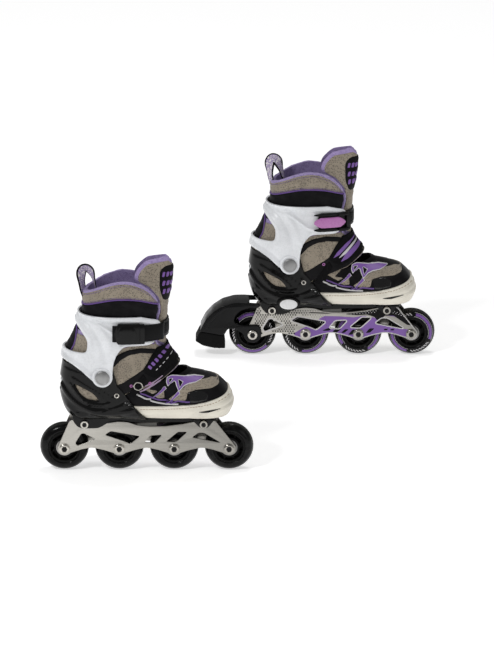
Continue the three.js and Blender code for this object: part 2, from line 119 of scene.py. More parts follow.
def form_point(s, turn):
    """Points of the boot form at station numbers s and turns round the section (0 at the front)."""
    rear_x, rear_z, front_x, front_z, half, rear_power, front_power = station_at(s).T
    c, sn = np.cos(turn), np.sin(turn)
    power = 2 / np.where(c > 0, front_power, rear_power)
    along = 0.5 + 0.5 * np.sign(c) * np.abs(c) ** power
    across = half * np.sign(sn) * np.abs(sn) ** power
    return np.stack([rear_x + (front_x - rear_x) * along, across, rear_z + (front_z - rear_z) * along], 1)


# A length round the boot for each radian, and one along it at each station, for weaves.
WEAVE_RADIUS = 45.0
STATION_MIDDLES = (STATIONS[:, 0:2] + STATIONS[:, 2:4]) / 2
STATION_REACH = np.concatenate([[0], np.cumsum(np.linalg.norm(np.diff(STATION_MIDDLES, axis=0), axis=1))])


def form_reach(s):
    """The length along the boot at station numbers s."""
    return np.interp(s, np.arange(len(STATIONS)), STATION_REACH)


def form_normal(s, turn):
    """Outward unit normals of the boot form."""
    step = 0.02
    down = form_point(np.minimum(s + step, LAST_STATION - 0.001),
                      turn) - form_point(np.maximum(s - step, 0), turn)
    around = form_point(s, turn + step) - form_point(s, turn - step)
    normal = np.cross(down, around)
    return normal / np.maximum(np.linalg.norm(normal, axis=1), 1e-9)[:, None]


# ------------------------------------------------------------------ outlines in side view
def rounded(points, radius=3.0, steps=4):
    """A closed outline with each corner swept into a short curve."""
    points = [Vector(p) for p in points]
    result = []
    for before, corner, after in zip(points[-1:] + points[:-1], points, points[1:] + points[:1]):
        reach = min(radius, (before - corner).length * 0.45, (after - corner).length * 0.45)
        start = corner + (before - corner).normalized() * reach
        end = corner + (after - corner).normalized() * reach
        for k in range(steps + 1):
            t = k / steps
            result.append(tuple(start.lerp(corner, t).lerp(corner.lerp(end, t), t)))
    return np.array(result)


FAR = 1e9
TINY = 1e-12


def line_distance(xz, points):
    """How far each point is from an open line."""
    best = np.full(len(xz), FAR)
    for (ax, az), (bx, bz) in zip(points[:-1], points[1:]):
        ex, ez = bx - ax, bz - az
        t = np.clip(((xz[:, 0] - ax) * ex + (xz[:, 1] - az) * ez) / max(ex * ex + ez * ez, TINY), 0, 1)
        best = np.minimum(best, np.hypot(xz[:, 0] - ax - ex * t, xz[:, 1] - az - ez * t))
    return best


def inside_distance(xz, outline):
    """How far each point is inside a closed outline; negative outside it."""
    inside = np.zeros(len(xz), bool)
    for (ax, az), (bx, bz) in zip(outline, np.roll(outline, -1, axis=0)):
        crosses = (az > xz[:, 1]) != (bz > xz[:, 1])
        rise = bz - az if abs(bz - az) > TINY else TINY
        inside ^= crosses & (xz[:, 0] < ax + (xz[:, 1] - az) / rise * (bx - ax))
    best = line_distance(xz, np.vstack([outline, outline[:1]]))
    return np.where(inside, best, -best)


def smooth_line(points, steps=6):
    """An open Catmull-Rom curve through the points."""
    p = np.array(points, float)
    padded = np.vstack([2 * p[0] - p[1], p, 2 * p[-1] - p[-2]])
    shares = np.linspace(0, 1, steps, endpoint=False)
    result = [catmull_rom(*padded[i:i + 4], t) for i in range(len(p) - 1) for t in shares]
    return np.array(result + [p[-1]])


# ------------------------------------------------------------------ cutting and closing thin meshes
def cut_triangles(triangles, value, middle):
    """Splits each triangle where value crosses zero; middle(a, b) adds the point on that edge."""
    signs = np.sign(value[triangles])
    crossed = (signs.min(axis=1) < 0) & (signs.max(axis=1) > 0)
    added = []
    for triangle in triangles[crossed]:
        for turn in range(3):
            a, b, c = np.roll(triangle, -turn)
            va, vb, vc = value[a], value[b], value[c]
            if va == 0 and vb * vc < 0:
                m = middle(b, c)
                added += [(a, b, m), (a, m, c)]
                break
            if va * vb < 0 and va * vc < 0:
                m, n = middle(a, b), middle(a, c)
                added += [(a, m, n), (m, b, c), (m, c, n)]
                break
    return np.vstack([triangles[~crossed], np.array(added, int).reshape(-1, 3)])


def shell_of(top, bottom, triangles, weave):
    """A closed thin body from matching top and bottom surfaces."""
    count = len(top)
    faces = [tuple(t) for t in triangles] + [(c + count, b + count, a + count) for a, b, c in triangles]
    edges = {edge: True for a, b, c in triangles for edge in ((a, b), (b, c), (c, a))}
    faces += [(b, a, a + count, b + count) for a, b in edges if (b, a) not in edges]
    weave = np.stack([weave[:, 0], weave[:, 1], np.zeros(count)], 1)
    return np.vstack([top, bottom]), faces, np.vstack([weave, weave])


# ------------------------------------------------------------------ patches of the form
WELD = 0.02


class Patch:
    """Part of the boot form, trimmed where a field falls below zero, ready to be thickened."""

    def __init__(self, stations, turns, cells, field):
        (s0, s1), (t0, t1), (ns, nt) = stations, turns, cells
        closed = abs(t1 - t0 - 2 * math.pi) < 1e-6
        columns = nt if closed else nt + 1
        s, t = np.meshgrid(np.linspace(s0, s1, ns + 1), t0 + (t1 - t0) * np.arange(columns) / nt,
                           indexing="ij")
        self.s, self.t = s.ravel(), t.ravel()
        triangles = []
        for j in range(nt):
            k = (j + 1) % columns
            rows = np.arange(ns) * columns
            a, b, c, d = rows + j, rows + k, rows + columns + k, rows + columns + j
            even = (rows // columns + j) % 2 == 0
            triangles.append(np.where(even[:, None], np.stack([a, d, b], 1), np.stack([a, d, c], 1)))
            triangles.append(np.where(even[:, None], np.stack([b, d, c], 1), np.stack([a, c, b], 1)))
        self.triangles = np.vstack(triangles)
        self.points = form_point(self.s, self.t)
        self.f = field(self.points)
        self.split()
        self.triangles = self.triangles[self.f[self.triangles].min(axis=1) > -1e-5]
        self.tidy()

    def split(self):
        """Cuts each triangle that the field's zero line crosses."""
        value = np.where(np.abs(self.f) < WELD, 0, self.f)
        s, t, f = list(self.s), list(self.t), list(value)
        cache = {}

        def middle(a, b):
            key = (a, b) if a < b else (b, a)
            if key not in cache:
                low, high = key
                share = value[low] / (value[low] - value[high])
                turn_step = (t[high] - t[low] + math.pi) % (2 * math.pi) - math.pi
                s.append(s[low] + (s[high] - s[low]) * share)
                t.append(t[low] + turn_step * share)
                f.append(0.0)
                cache[key] = len(s) - 1
            return cache[key]

        self.triangles = cut_triangles(self.triangles, value, middle)
        self.s, self.t, self.f = np.array(s), np.array(t), np.array(f)
        self.points = form_point(self.s, self.t)

    def tidy(self):
        """Keeps only the vertices in use and welds any that lie within a hair of each other."""
        used, self.triangles = np.unique(self.triangles, return_inverse=True)
        self.triangles = self.triangles.reshape(-1, 3)
        self.s, self.t, self.f, self.points = self.s[used], self.t[used], self.f[used], self.points[used]
        keys = np.round(self.points / WELD).astype(int)
        _, first, same = np.unique(keys, axis=0, return_index=True, return_inverse=True)
        self.triangles = same.reshape(-1)[self.triangles]
        self.s, self.t, self.f, self.points = self.s[first], self.t[first], self.f[first], self.points[first]
        t = self.triangles
        self.triangles = t[(t[:, 0] != t[:, 1]) & (t[:, 1] != t[:, 2]) & (t[:, 0] != t[:, 2])]
        self.normals = form_normal(self.s, self.t)

    def thicken(self, inner, outer, relief=None, edge_radius=0.8):
        """Vertices and faces of a closed shell between two distances out from the form."""
        f = np.maximum(self.f, 0)
        rounding = edge_radius - np.sqrt(np.maximum(edge_radius ** 2 - np.maximum(edge_radius - f, 0) ** 2,
                                                    0))
        out = outer - rounding
        if relief is not None:
            out = out + relief(self.points, f)
        top = self.points + self.normals * out[:, None]
        bottom = self.points + self.normals * float(inner)
        return shell_of(top, bottom, self.triangles, np.stack([self.t * WEAVE_RADIUS, form_reach(self.s)], 1))


def outline_field(outline, *holes):
    def field(points):
        xz = points[:, [0, 2]]
        value = inside_distance(xz, outline)
        for hole in holes:
            value = np.minimum(value, -inside_distance(xz, hole))
        return value
    return field


# ------------------------------------------------------------------ places on the form
# An offset is a distance in millimetres out from the boot form or, at the buckle, from the leg's oval.
LATERAL, MEDIAL = -1, 1


def locate(xz, hand):
    """Station numbers and turns of the form points that show at xz in side view, on one side."""
    grid_s, grid_t = np.meshgrid(np.linspace(0, LAST_STATION - 0.01, 140),
                                 np.linspace(0.01, math.pi - 0.01, 90))
    grid_s, grid_t = grid_s.ravel(), grid_t.ravel()
    grid = form_point(grid_s, grid_t)[:, [0, 2]]
    xz = np.array(xz, float).reshape(-1, 2)
    nearest = np.array([np.argmin(((grid - p) ** 2).sum(1)) for p in xz])
    s, t = grid_s[nearest], grid_t[nearest]
    step = 1e-3
    for _ in range(6):
        here = form_point(s, t)[:, [0, 2]]
        along_s = (form_point(s + step, t)[:, [0, 2]] - here) / step
        along_t = (form_point(s, t + step)[:, [0, 2]] - here) / step
        miss = xz - here
        det = along_s[:, 0] * along_t[:, 1] - along_s[:, 1] * along_t[:, 0]
        det = np.where(np.abs(det) < 1e-3, 1e-3, det)
        s = s + np.clip((miss[:, 0] * along_t[:, 1] - miss[:, 1] * along_t[:, 0]) / det, -0.3, 0.3)
        t = t + np.clip((along_s[:, 0] * miss[:, 1] - along_s[:, 1] * miss[:, 0]) / det, -0.2, 0.2)
        s, t = np.clip(s, 0, LAST_STATION - 0.01), np.clip(t, 0.002, math.pi - 0.002)
    return s, t * hand


def on_form(xz, hand, offset):
    """Points and normals a distance out from the form, where xz shows in side view."""
    s, t = locate(xz, hand)
    normals = form_normal(s, t)
    return form_point(s, t) + normals * offset, normals


# ------------------------------------------------------------------ plain geometry
def join(*geometries):
    vertices, faces, weaves = [], [], []
    for part_vertices, part_faces, *weave in geometries:
        base = len(vertices)
        vertices.extend([tuple(v) for v in part_vertices])
        faces.extend([tuple(i + base for i in face) for face in part_faces])
        weaves.append(weave[0] if weave else np.array(part_vertices, float)[:, [0, 2, 1]])
    return np.array(vertices, float), faces, np.vstack(weaves)


def moved(geometry, offset=(0, 0, 0), matrix=None):
    vertices, *rest = geometry
    vertices = np.array(vertices, float)
    if matrix is not None:
        vertices = vertices @ np.array(matrix.to_3x3()).T
    return vertices + np.array(offset, float), *rest


def turned(profile, segments, centre=(0, 0, 0)):
    """A closed body of revolution about Y from a closed [radius, y] profile; radius 0 is a pole."""
    vertices, rings = [], []
    for radius, y in profile:
        if radius < 1e-6:
            rings.append([len(vertices)] * segments)
            vertices.append((0, y, 0))
        else:
            rings.append(list(range(len(vertices), len(vertices) + segments)))
            angles = np.arange(segments) * 2 * math.pi / segments
            vertices.extend(zip(radius * np.cos(angles), np.full(segments, y), radius * np.sin(angles)))
    closed = profile[0][0] > 1e-6
    pairs = list(zip(rings, rings[1:] + rings[:1])) if closed else list(zip(rings, rings[1:]))
    faces = []
    for ring, following in pairs:
        for k in range(segments):
            n = (k + 1) % segments
            corners = [ring[k], following[k], following[n], ring[n]]
            face = [c for i, c in enumerate(corners) if c != corners[i - 1]]
            if len(set(face)) >= 3:
                faces.append(tuple(face))
    return np.array(vertices, float) + np.array(centre, float), faces


def frames_along(points, up=None):
    """A side and an up direction at each point of a path; up follows the given normals if any."""
    p = np.array(points, float)
    tangents = np.gradient(p, axis=0)
    tangents /= np.maximum(np.linalg.norm(tangents, axis=1), 1e-9)[:, None]
    if up is None:
        ups = [np.cross(tangents[0], (0.31, 0.23, 0.92))]
        for tangent in tangents:
            ups.append(ups[-1] - tangent * np.dot(ups[-1], tangent))
            ups[-1] /= max(np.linalg.norm(ups[-1]), 1e-9)
        ups = np.array(ups[1:])
    else:
        ups = np.array(up, float)
        ups = ups - tangents * (ups * tangents).sum(1)[:, None]
        ups /= np.maximum(np.linalg.norm(ups, axis=1), 1e-9)[:, None]
    return np.cross(ups, tangents), ups


def swept(points, section, up=None):
    """A closed solid with a [side, up] section along a path."""
    p = np.array(points, float)
    sides, ups = frames_along(p, up)
    section = np.array(section, float)
    count = len(section)
    rings = [p[i] + (section[:, :1] * sides[i] + section[:, 1:] * ups[i]) for i in range(len(p))]
    faces = []
    for i in range(len(p) - 1):
        a, b = i * count, (i + 1) * count
        faces += [(a + k, a + (k + 1) % count, b + (k + 1) % count, b + k) for k in range(count)]
    faces += [tuple(reversed(range(count))), tuple(range((len(p) - 1) * count, len(p) * count))]
    reach = np.concatenate([[0], np.cumsum(np.linalg.norm(np.diff(p, axis=0), axis=1))])
    weave = np.concatenate([np.stack([np.full(count, reach[i]), section[:, 0], section[:, 1]], 1)
                            for i in range(len(p))])
    return np.vstack(rings), faces, weave


def oval(half_width, half_height, sides=12, power=2.0):
    angles = np.arange(sides) * 2 * math.pi / sides
    c, s = np.cos(angles), np.sin(angles)
    return np.stack([half_width * np.sign(c) * np.abs(c) ** (2 / power),
                     half_height * np.sign(s) * np.abs(s) ** (2 / power)], 1)


def plate(outline, holes, y0, y1, bevel=0.5):
    """A flat plate in the XZ plane with bevelled edges and holes."""
    curve = bpy.data.curves.new("plate", "CURVE")
    curve.dimensions = "2D"
    curve.fill_mode = "BOTH"
    for points in [outline, *holes]:
        spline = curve.splines.new("POLY")
        spline.points.add(len(points) - 1)
        spline.points.foreach_set("co", np.array([(x, z, 0, 1) for x, z in points], float).ravel())
        spline.use_cyclic_u = True
    curve.extrude = (y1 - y0) / 2 - bevel
    curve.bevel_depth = bevel
    curve.bevel_resolution = 2
    curve.offset = -bevel
    holder = bpy.data.objects.new("plate", curve)
    mesh = bpy.data.meshes.new_from_object(holder)
    bm = bmesh.new()
    bm.from_mesh(mesh)
    bmesh.ops.remove_doubles(bm, verts=bm.verts, dist=0.002)
    bmesh.ops.recalc_face_normals(bm, faces=bm.faces)
    middle = (y0 + y1) / 2
    bm.verts.ensure_lookup_table()
    vertices = np.array([(v.co.x, middle - v.co.z, v.co.y) for v in bm.verts])
    faces = [tuple(v.index for v in face.verts) for face in bm.faces]
    bm.free()
    bpy.data.objects.remove(holder)
    bpy.data.curves.remove(curve)
    bpy.data.meshes.remove(mesh)
    return vertices, faces


def circle(centre, radius, steps=24, start=0.0, end=360.0):
    full = abs(end - start - 360) < 1e-6
    angles = np.radians(np.linspace(start, end, steps, endpoint=not full))
    return np.stack([centre[0] + radius * np.cos(angles), centre[1] + radius * np.sin(angles)], 1)


def block(low, high, bevel=0.6):
    """A box with rounded edges."""
    bm = bmesh.new()
    bmesh.ops.create_cube(bm, size=1)
    low, high = np.array(low, float), np.array(high, float)
    for vertex in bm.verts:
        vertex.co = Vector((low + high) / 2 + np.array(vertex.co) * (high - low))
    bmesh.ops.bevel(bm, geom=bm.edges[:], offset=bevel, segments=2, profile=0.7, affect="EDGES")
    bm.verts.ensure_lookup_table()
    result = np.array([tuple(v.co) for v in bm.verts]), [tuple(v.index for v in f.verts) for f in bm.faces]
    bm.free()
    return result


# ------------------------------------------------------------------ placing pieces
def make_object(name, geometry, look, mirrored, origin, sharp_degrees):
    """A mesh object from (vertices, faces) or (vertices, faces, weave) in skate millimetres."""
    vertices, faces, *weave = geometry
    local = np.array(vertices, float)
    weave = weave[0] if weave else local[:, [0, 2, 1]]
    placed = local * (1, -1, 1) if mirrored else local
    mesh = bpy.data.meshes.new(name)
    faces = [tuple(int(i) for i in (reversed(face) if mirrored else face)) for face in faces]
    mesh.from_pydata([tuple(v) for v in placed * MM + np.array(origin)], [], faces)
    for attribute, values in (("local", local), ("weave", weave)):
        data = mesh.attributes.new(attribute, "FLOAT_VECTOR", "POINT").data
        data.foreach_set("vector", np.array(values, np.float32).ravel())
    bm = bmesh.new()
    bm.from_mesh(mesh)
    bmesh.ops.recalc_face_normals(bm, faces=bm.faces)
    bm.to_mesh(mesh)
    bm.free()
    mesh.polygons.foreach_set("use_smooth", np.ones(len(mesh.polygons), bool))
    mesh.set_sharp_from_angle(angle=math.radians(sharp_degrees))
    mesh.materials.append(look)
    obj = bpy.data.objects.new(name, mesh)
    bpy.context.scene.collection.objects.link(obj)
    return obj


def piece(name, geometry, body, look, replaces=(), sides=SIDES, sharp=40):
    """The same piece on each skate, mirrored on the left one, riding on that skate's body."""
    made = {}
    for side in sides:
        obj = make_object(f"{side}_{name}", geometry, look, side == "left", ORIGIN[side], sharp)
        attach(obj, f"{side}_{body}")
        if replaces:
            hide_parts(*[f"{side}_{node}" for node in replaces])
        made[side] = obj
    return made


# ------------------------------------------------------------------ materials
def srgb(red, green, blue):
    """A linear colour from 8-bit screen values."""
    def linear(value):
        value /= 255
        return value / 12.92 if value <= 0.04045 else ((value + 0.055) / 1.055) ** 2.4
    return (linear(red), linear(green), linear(blue), 1)


def shade(colour, factor, lift=0.0):
    """The same colour, lighter or darker."""
    return tuple(c * factor + lift for c in colour[:3]) + (1,)


class Look:
    """A node material round one Principled BSDF, with its patterns in skate millimetres."""

    def __init__(self, name, roughness=0.5, metallic=0.0, **settings):
        self.material = bpy.data.materials.new(name)
        self.material.use_nodes = True
        self.nodes = self.material.node_tree.nodes
        self.links = self.material.node_tree.links
        self.bsdf = self.nodes["Principled BSDF"]
        self.bsdf.inputs["Roughness"].default_value = roughness
        self.bsdf.inputs["Metallic"].default_value = metallic
        for key, value in settings.items():
            self.bsdf.inputs[key.replace("_", " ")].default_value = value
        place = self.nodes.new("ShaderNodeAttribute")
        place.attribute_name = "local"
        self.place = place.outputs["Vector"]

    def put(self, socket, value):
        if hasattr(value, "links"):
            self.links.new(value, socket)
        else:
            socket.default_value = value

    def node(self, kind, inputs=(), **settings):
        made = self.nodes.new(kind)
        for key, value in settings.items():
            setattr(made, key, value)
        for key, value in dict(inputs).items():
            self.put(made.inputs[key], value)
        return made

    def stretch(self, scale, turn=(0, 0, 0)):
        return self.node("ShaderNodeMapping",
                         {"Vector": self.place, "Scale": scale, "Rotation": turn}).outputs[0]

    def noise(self, scale, detail=3.0, rough=0.55, vector=None):
        return self.node("ShaderNodeTexNoise",
                         {"Vector": self.place if vector is None else vector, "Scale": scale,
                                                "Detail": detail, "Roughness": rough}).outputs["Fac"]

    def cells(self, scale, randomness=1.0):
        made = self.node("ShaderNodeTexVoronoi", {"Vector": self.place, "Scale": scale,
                                                  "Randomness": randomness}, feature="F1")
        return made.outputs["Distance"]

    def maths(self, operation, first, second=0.0):
        made = self.node("ShaderNodeMath", operation=operation)
        for socket, value in zip(made.inputs, (first, second)):
            self.put(socket, value)
        return made.outputs[0]

    def fade(self, value, low, high, to_low=0.0, to_high=1.0):
        made = self.node("ShaderNodeMapRange", {"Value": value, "From Min": low, "From Max": high,
                                                "To Min": to_low, "To Max": to_high},
                         interpolation_type="SMOOTHSTEP")
        return made.outputs[0]

    def mix(self, amount, first, second):
        made = self.node("ShaderNodeMix", data_type="RGBA")
        self.put(made.inputs[0], amount)
        self.put(made.inputs[6], first)
        self.put(made.inputs[7], second)
        return made.outputs[2]

    def axes(self, vector=None):
        return self.node("ShaderNodeSeparateXYZ",
                         {"Vector": self.place if vector is None else vector}).outputs

    def color(self, value):
        self.put(self.bsdf.inputs["Base Color"], value)
        return self

    def roughness(self, value):
        self.put(self.bsdf.inputs["Roughness"], value)
        return self

    def bump(self, height, distance=0.0002, strength=1.0):
        """Stacks a bump, its height in the given distance of metres, on any bump already there."""
        made = self.node("ShaderNodeBump", {"Height": height, "Distance": distance, "Strength": strength})
        if self.bsdf.inputs["Normal"].links:
            self.links.new(self.bsdf.inputs["Normal"].links[0].from_socket, made.inputs["Normal"])
        self.links.new(made.outputs[0], self.bsdf.inputs["Normal"])
        return self

    def done(self):
        return self.material


def gloss_level(colour):
    """Deep blacks take less of the pale room than light colours do."""
    return 0.11 if max(colour[:3]) < 0.02 else 0.45


def moulded(name, colour, roughness, wear_colour, wear=0.25, grain=0.00004, coat=0.0):
    """Injection-moulded plastic: faint tone drift, fine grain, and scuffs where hands and floors reach."""
    look = Look(name, roughness, Coat_Weight=coat, Coat_Roughness=0.12,
                Specular_IOR_Level=gloss_level(colour))
    drift = look.noise(0.03, 4)
    tint = look.mix(look.fade(drift, 0.3, 0.75), colour, shade(colour, 0.86))
    streaks = look.noise(1.0, 5, 0.7, look.stretch((0.35, 0.9, 0.12), (0.3, 0.2, 0.5)))
    scuff = look.maths("MULTIPLY", look.fade(streaks, 0.58, 0.72), look.fade(look.noise(0.05, 2), 0.45, 0.7))
    scuff = look.maths("MULTIPLY", scuff, wear)
    look.color(look.mix(scuff, tint, wear_colour))
    look.roughness(look.maths("ADD", look.fade(look.noise(0.4, 4), 0.3, 0.8, roughness - 0.06,
                                               roughness + 0.08),
                              look.maths("MULTIPLY", scuff, 0.35)))
    look.bump(look.noise(2.6, 3), grain)
    return look.done()


def brushed_metal(name, colour, roughness, direction=(0.02, 1.5, 1.5)):
    """Metal with fine lines along X, and painted shade that darkens it towards the toe."""
    look = Look(name, roughness, 1.0)
    lines = look.noise(1.0, 4, 0.6, look.stretch(direction))
    spots = look.noise(0.02, 2)
    tone = look.mix(look.fade(spots, 0.3, 0.75, 0, 0.6), colour, shade(colour, 0.82))
    # Painted shade: the colour darkens towards the toe along local X, standing in for light falling off from
    # the heel end.
    drift = look.fade(look.axes()[0], -110, 100, 0, 1)
    look.color(look.mix(drift, tone, shade(colour, 0.58)))
    look.roughness(look.fade(lines, 0.25, 0.8, roughness - 0.08, roughness + 0.14))
    look.bump(lines, 0.00002)
    return look.done()


def spacer_mesh(name, colour, hole_colour, scale=0.62):
    """Knitted spacer mesh: staggered round holes in a soft face."""
    look = Look(name, 0.9, Sheen_Weight=0.25, Sheen_Roughness=0.5, Specular_IOR_Level=0.2)
    holes = look.cells(scale * 0.8, randomness=0.55)
    threads = look.noise(2.4, 2, 0.6)
    hole = look.fade(holes, 0.22, 0.42, 1.0, 0.0)
    tone = look.mix(look.fade(look.noise(0.035, 3), 0.3, 0.7), colour, shade(colour, 0.82))
    tone = look.mix(look.fade(threads, 0.3, 0.75, 0.0, 0.35), tone, shade(colour, 1.25))
    look.color(look.mix(look.maths("MULTIPLY", hole, 0.85), tone, hole_colour))
    look.bump(look.maths("SUBTRACT", look.maths("MULTIPLY", threads, 0.3), hole), 0.0004, 0.9)
    return look.done()


def synthetic_leather(name, colour, roughness=0.45, grain=0.9, crease=0.0001, coat=0.0):
    """Coated fabric with a pebbled grain over soft unevenness."""
    look = Look(name, roughness, Specular_IOR_Level=gloss_level(colour), Coat_Weight=coat, Coat_Roughness=0.1)
    pebbles = look.cells(grain)
    look.color(look.mix(look.fade(look.noise(0.08, 3), 0.35, 0.7), colour, shade(colour, 1.5, 0.001)))
    look.roughness(look.fade(pebbles, 0.0, 0.8, roughness + 0.1, roughness - 0.08))
    look.bump(pebbles, crease, 0.7)
    look.bump(look.noise(0.12, 3), 0.0004, 0.4)
    return look.done()


def woven(name, colour, thread=1.6, roughness=0.85, second=None):
    """Woven tape: crossing threads as two sets of ridges."""
    look = Look(name, roughness, Specular_IOR_Level=gloss_level(colour))
    place = look.node("ShaderNodeAttribute", attribute_name="weave").outputs["Vector"]
    across, along, _ = look.axes(place)
    first = look.maths("SINE", look.maths("MULTIPLY", look.maths("ADD", across, along), thread * math.pi))
    other = look.maths("SINE", look.maths("MULTIPLY", look.maths("SUBTRACT", across, along),
                                          thread * math.pi))
    ridge = look.maths("MULTIPLY", first, other)
    tone = look.mix(look.fade(ridge, -0.6, 0.8), shade(colour, 0.6), colour)
    if second is not None:
        tone = look.mix(look.fade(look.noise(0.5, 2), 0.5, 0.6), tone, second)
    look.color(tone)
    look.bump(ridge, 0.00015, 0.8)
    return look.done()


def printed_film(name, colour):
    """A printed film: solid colour with a fine dot screen and worn spots."""
    look = Look(name, 0.4, Specular_IOR_Level=gloss_level(colour))
    worn = look.fade(look.noise(0.5, 5, 0.7), 0.62, 0.72, 0, 0.35)
    tone = look.mix(look.fade(look.cells(1.1, randomness=0.0), 0.25, 0.5), colour, shade(colour, 0.75))
    look.color(look.mix(worn, tone, srgb(60, 55, 60)))
    look.bump(look.noise(3, 2), 0.00003)
    return look.done()


def smoky_urethane():
    """Dark urethane: a deep gloss, a dusty tread, and faint flow marks."""
    look = Look("urethane", 0.16, Specular_IOR_Level=0.16)
    place = look.node("ShaderNodeAttribute", attribute_name="weave").outputs["Vector"]
    x, z, _ = look.axes(place)
    radius = look.maths("SQRT", look.maths("ADD", look.maths("MULTIPLY", x, x), look.maths("MULTIPLY", z, z)))
    dust = look.maths("MULTIPLY", look.fade(radius, 29.6, 31.6),
                      look.fade(look.noise(0.35, 5, 0.7), 0.35, 0.65, 0.35, 1))
    flow = look.fade(look.noise(0.12, 3, 0.6), 0.35, 0.75)
    inner = look.mix(flow, srgb(5, 5, 6), srgb(24, 25, 24))
    look.color(look.mix(look.maths("MULTIPLY", dust, 0.7), inner, srgb(64, 64, 61)))
    look.roughness(look.fade(dust, 0, 1, 0.16, 0.62))
    look.bump(look.noise(1.6, 4), 0.0001, 0.5)
    return look.done()


URETHANE = smoky_urethane()
WHITE_PLASTIC = moulded("white_plastic", srgb(233, 235, 238), 0.3, srgb(150, 146, 142), 0.35)
RIM_WHITE = moulded("rim_white", srgb(230, 225, 211), 0.5, srgb(140, 112, 84), 0.75, 0.00008)
BLACK_GLOSS = moulded("black_gloss", srgb(8, 8, 8), 0.2, srgb(52, 50, 48), 0.16, 0.00002, 0.22)
BLACK_MATTE = moulded("black_matte", srgb(11, 11, 12), 0.34, srgb(58, 56, 54), 0.18, 0.00005, 0.14)
LILAC_PLASTIC = moulded("lilac_plastic", srgb(186, 118, 180), 0.3, srgb(214, 170, 214), 0.5)
OVAL_WHITE = moulded("oval_white", srgb(236, 236, 236), 0.3, srgb(160, 156, 150), 0.3)
PRINT_BLACK = printed_film("print_black", srgb(14, 13, 15))
HUB_BLACK = moulded("hub_black", srgb(14, 14, 14), 0.4, srgb(80, 76, 72), 0.25)
CAP_GREY = brushed_metal("cap_grey", srgb(158, 158, 158), 0.38, (0.4, 0.4, 0.4))
BRIGHT_STEEL = brushed_metal("bright_steel", srgb(204, 200, 192), 0.2, (0.5, 0.5, 0.5))
FRAME_SILVER = brushed_metal("frame_silver", srgb(186, 183, 176), 0.3)
BEARING_STEEL = brushed_metal("bearing_steel", srgb(168, 166, 164), 0.3, (0.5, 0.5, 0.5))
TAUPE_MESH = spacer_mesh("taupe_mesh", srgb(151, 141, 126), srgb(80, 72, 64))
LAVENDER_MESH = spacer_mesh("lavender_mesh", srgb(166, 150, 196), srgb(112, 94, 148), 0.7)
PURPLE_PIPING = woven("purple_piping", srgb(116, 86, 158), 1.4)
BLACK_FABRIC = synthetic_leather("black_fabric", srgb(13, 12, 14), 0.62, 1.2)
VAMP_BLACK = synthetic_leather("vamp_black", srgb(11, 10, 12), 0.42, 0.9)
OVERLAY_BLACK = synthetic_leather("overlay_black", srgb(8, 8, 9), 0.16, 0.5, 0.00003, 0.7)
PRINT_PURPLE = printed_film("print_purple", srgb(132, 92, 174))
PRINT_WHITE = printed_film("print_white", srgb(222, 220, 222))
LACE_LILAC = woven("lace_lilac", srgb(196, 170, 200), 1.1, 0.8)
WEB_BLACK = woven("web_black", srgb(15, 14, 16), 1.2, 0.8)
LOOP_LAVENDER = woven("loop_lavender", srgb(176, 160, 200), 0.8, 0.8, srgb(226, 222, 220))
STITCH_BROWN = woven("stitch_brown", srgb(176, 144, 112), 1.8, 0.8)
STRAP_BLACK = moulded("strap_black", srgb(12, 12, 13), 0.42, srgb(58, 56, 58), 0.2, 0.0001)
LAVENDER_PAD = spacer_mesh("lavender_pad", srgb(166, 148, 196), srgb(130, 110, 166), 1.1)
STITCH_PURPLE = woven("stitch_purple", srgb(120, 88, 170), 1.8, 0.8)
PIPING_WHITE = woven("piping_white", srgb(226, 224, 224), 1.4, 0.7)
RUBBER = moulded("rubber", srgb(13, 13, 13), 0.7, srgb(74, 72, 70), 0.5, 0.0002)
REFLECTIVE = moulded("reflective", srgb(196, 200, 204), 0.3, srgb(150, 150, 150), 0.2)


# ------------------------------------------------------------------ graphics laid on the boot
def flat_grid(xs, zs):
    """The points and triangles of a flat grid in side view."""
    grid_x, grid_z = np.meshgrid(xs, zs, indexing="ij")
    columns = len(zs)
    i, j = np.meshgrid(np.arange(len(xs) - 1), np.arange(columns - 1), indexing="ij")
    a = (i * columns + j).ravel()
    triangles = np.vstack([np.stack([a, a + columns, a + columns + 1], 1),
                           np.stack([a, a + columns + 1, a + 1], 1)])
    return np.stack([grid_x.ravel(), grid_z.ravel()], 1), triangles


def decal(outline, hand, offset, thickness=0.35, size=1.6, holes=()):
    """A thin raised patch on the form whose edge shows as that outline in side view."""
    low, high = outline.min(axis=0), outline.max(axis=0)
    xz, triangles = flat_grid(*(np.arange(a - size, b + size * 1.5, size) for a, b in zip(low, high)))
    value = inside_distance(xz, outline)
    for hole in holes:
        value = np.minimum(value, -inside_distance(xz, hole))
    xz, value, triangles = cut_flat(xz, value, triangles)
    s, t = locate(xz, hand)
    normals = form_normal(s, t)
    base = form_point(s, t)
    lift = offset + thickness - 0.5 * thickness * (value < 0.01)
    top, bottom = base + normals * lift[:, None], base + normals * (offset - 0.3)
    return shell_of(top, bottom, triangles, xz)


def cut_flat(xz, value, triangles):
    """Keeps the part of a flat mesh where value is positive, cut along its zero line."""
    value = np.where(np.abs(value) < WELD, 0, value)
    points, values, cache = list(map(tuple, xz)), list(value), {}

    def middle(a, b):
        key = (min(a, b), max(a, b))
        if key not in cache:
            share = value[a] / (value[a] - value[b])
            points.append(tuple(xz[a] + (xz[b] - xz[a]) * share))
            values.append(0.0)
            cache[key] = len(points) - 1
        return cache[key]

    triangles = cut_triangles(triangles, value, middle)
    xz, value = np.array(points), np.array(values)
    inside = (value[triangles].min(axis=1) > -1e-6) & (value[triangles].max(axis=1) > 1e-6)
    used, triangles = np.unique(triangles[inside], return_inverse=True)
    return xz[used], value[used], triangles.reshape(-1, 3)


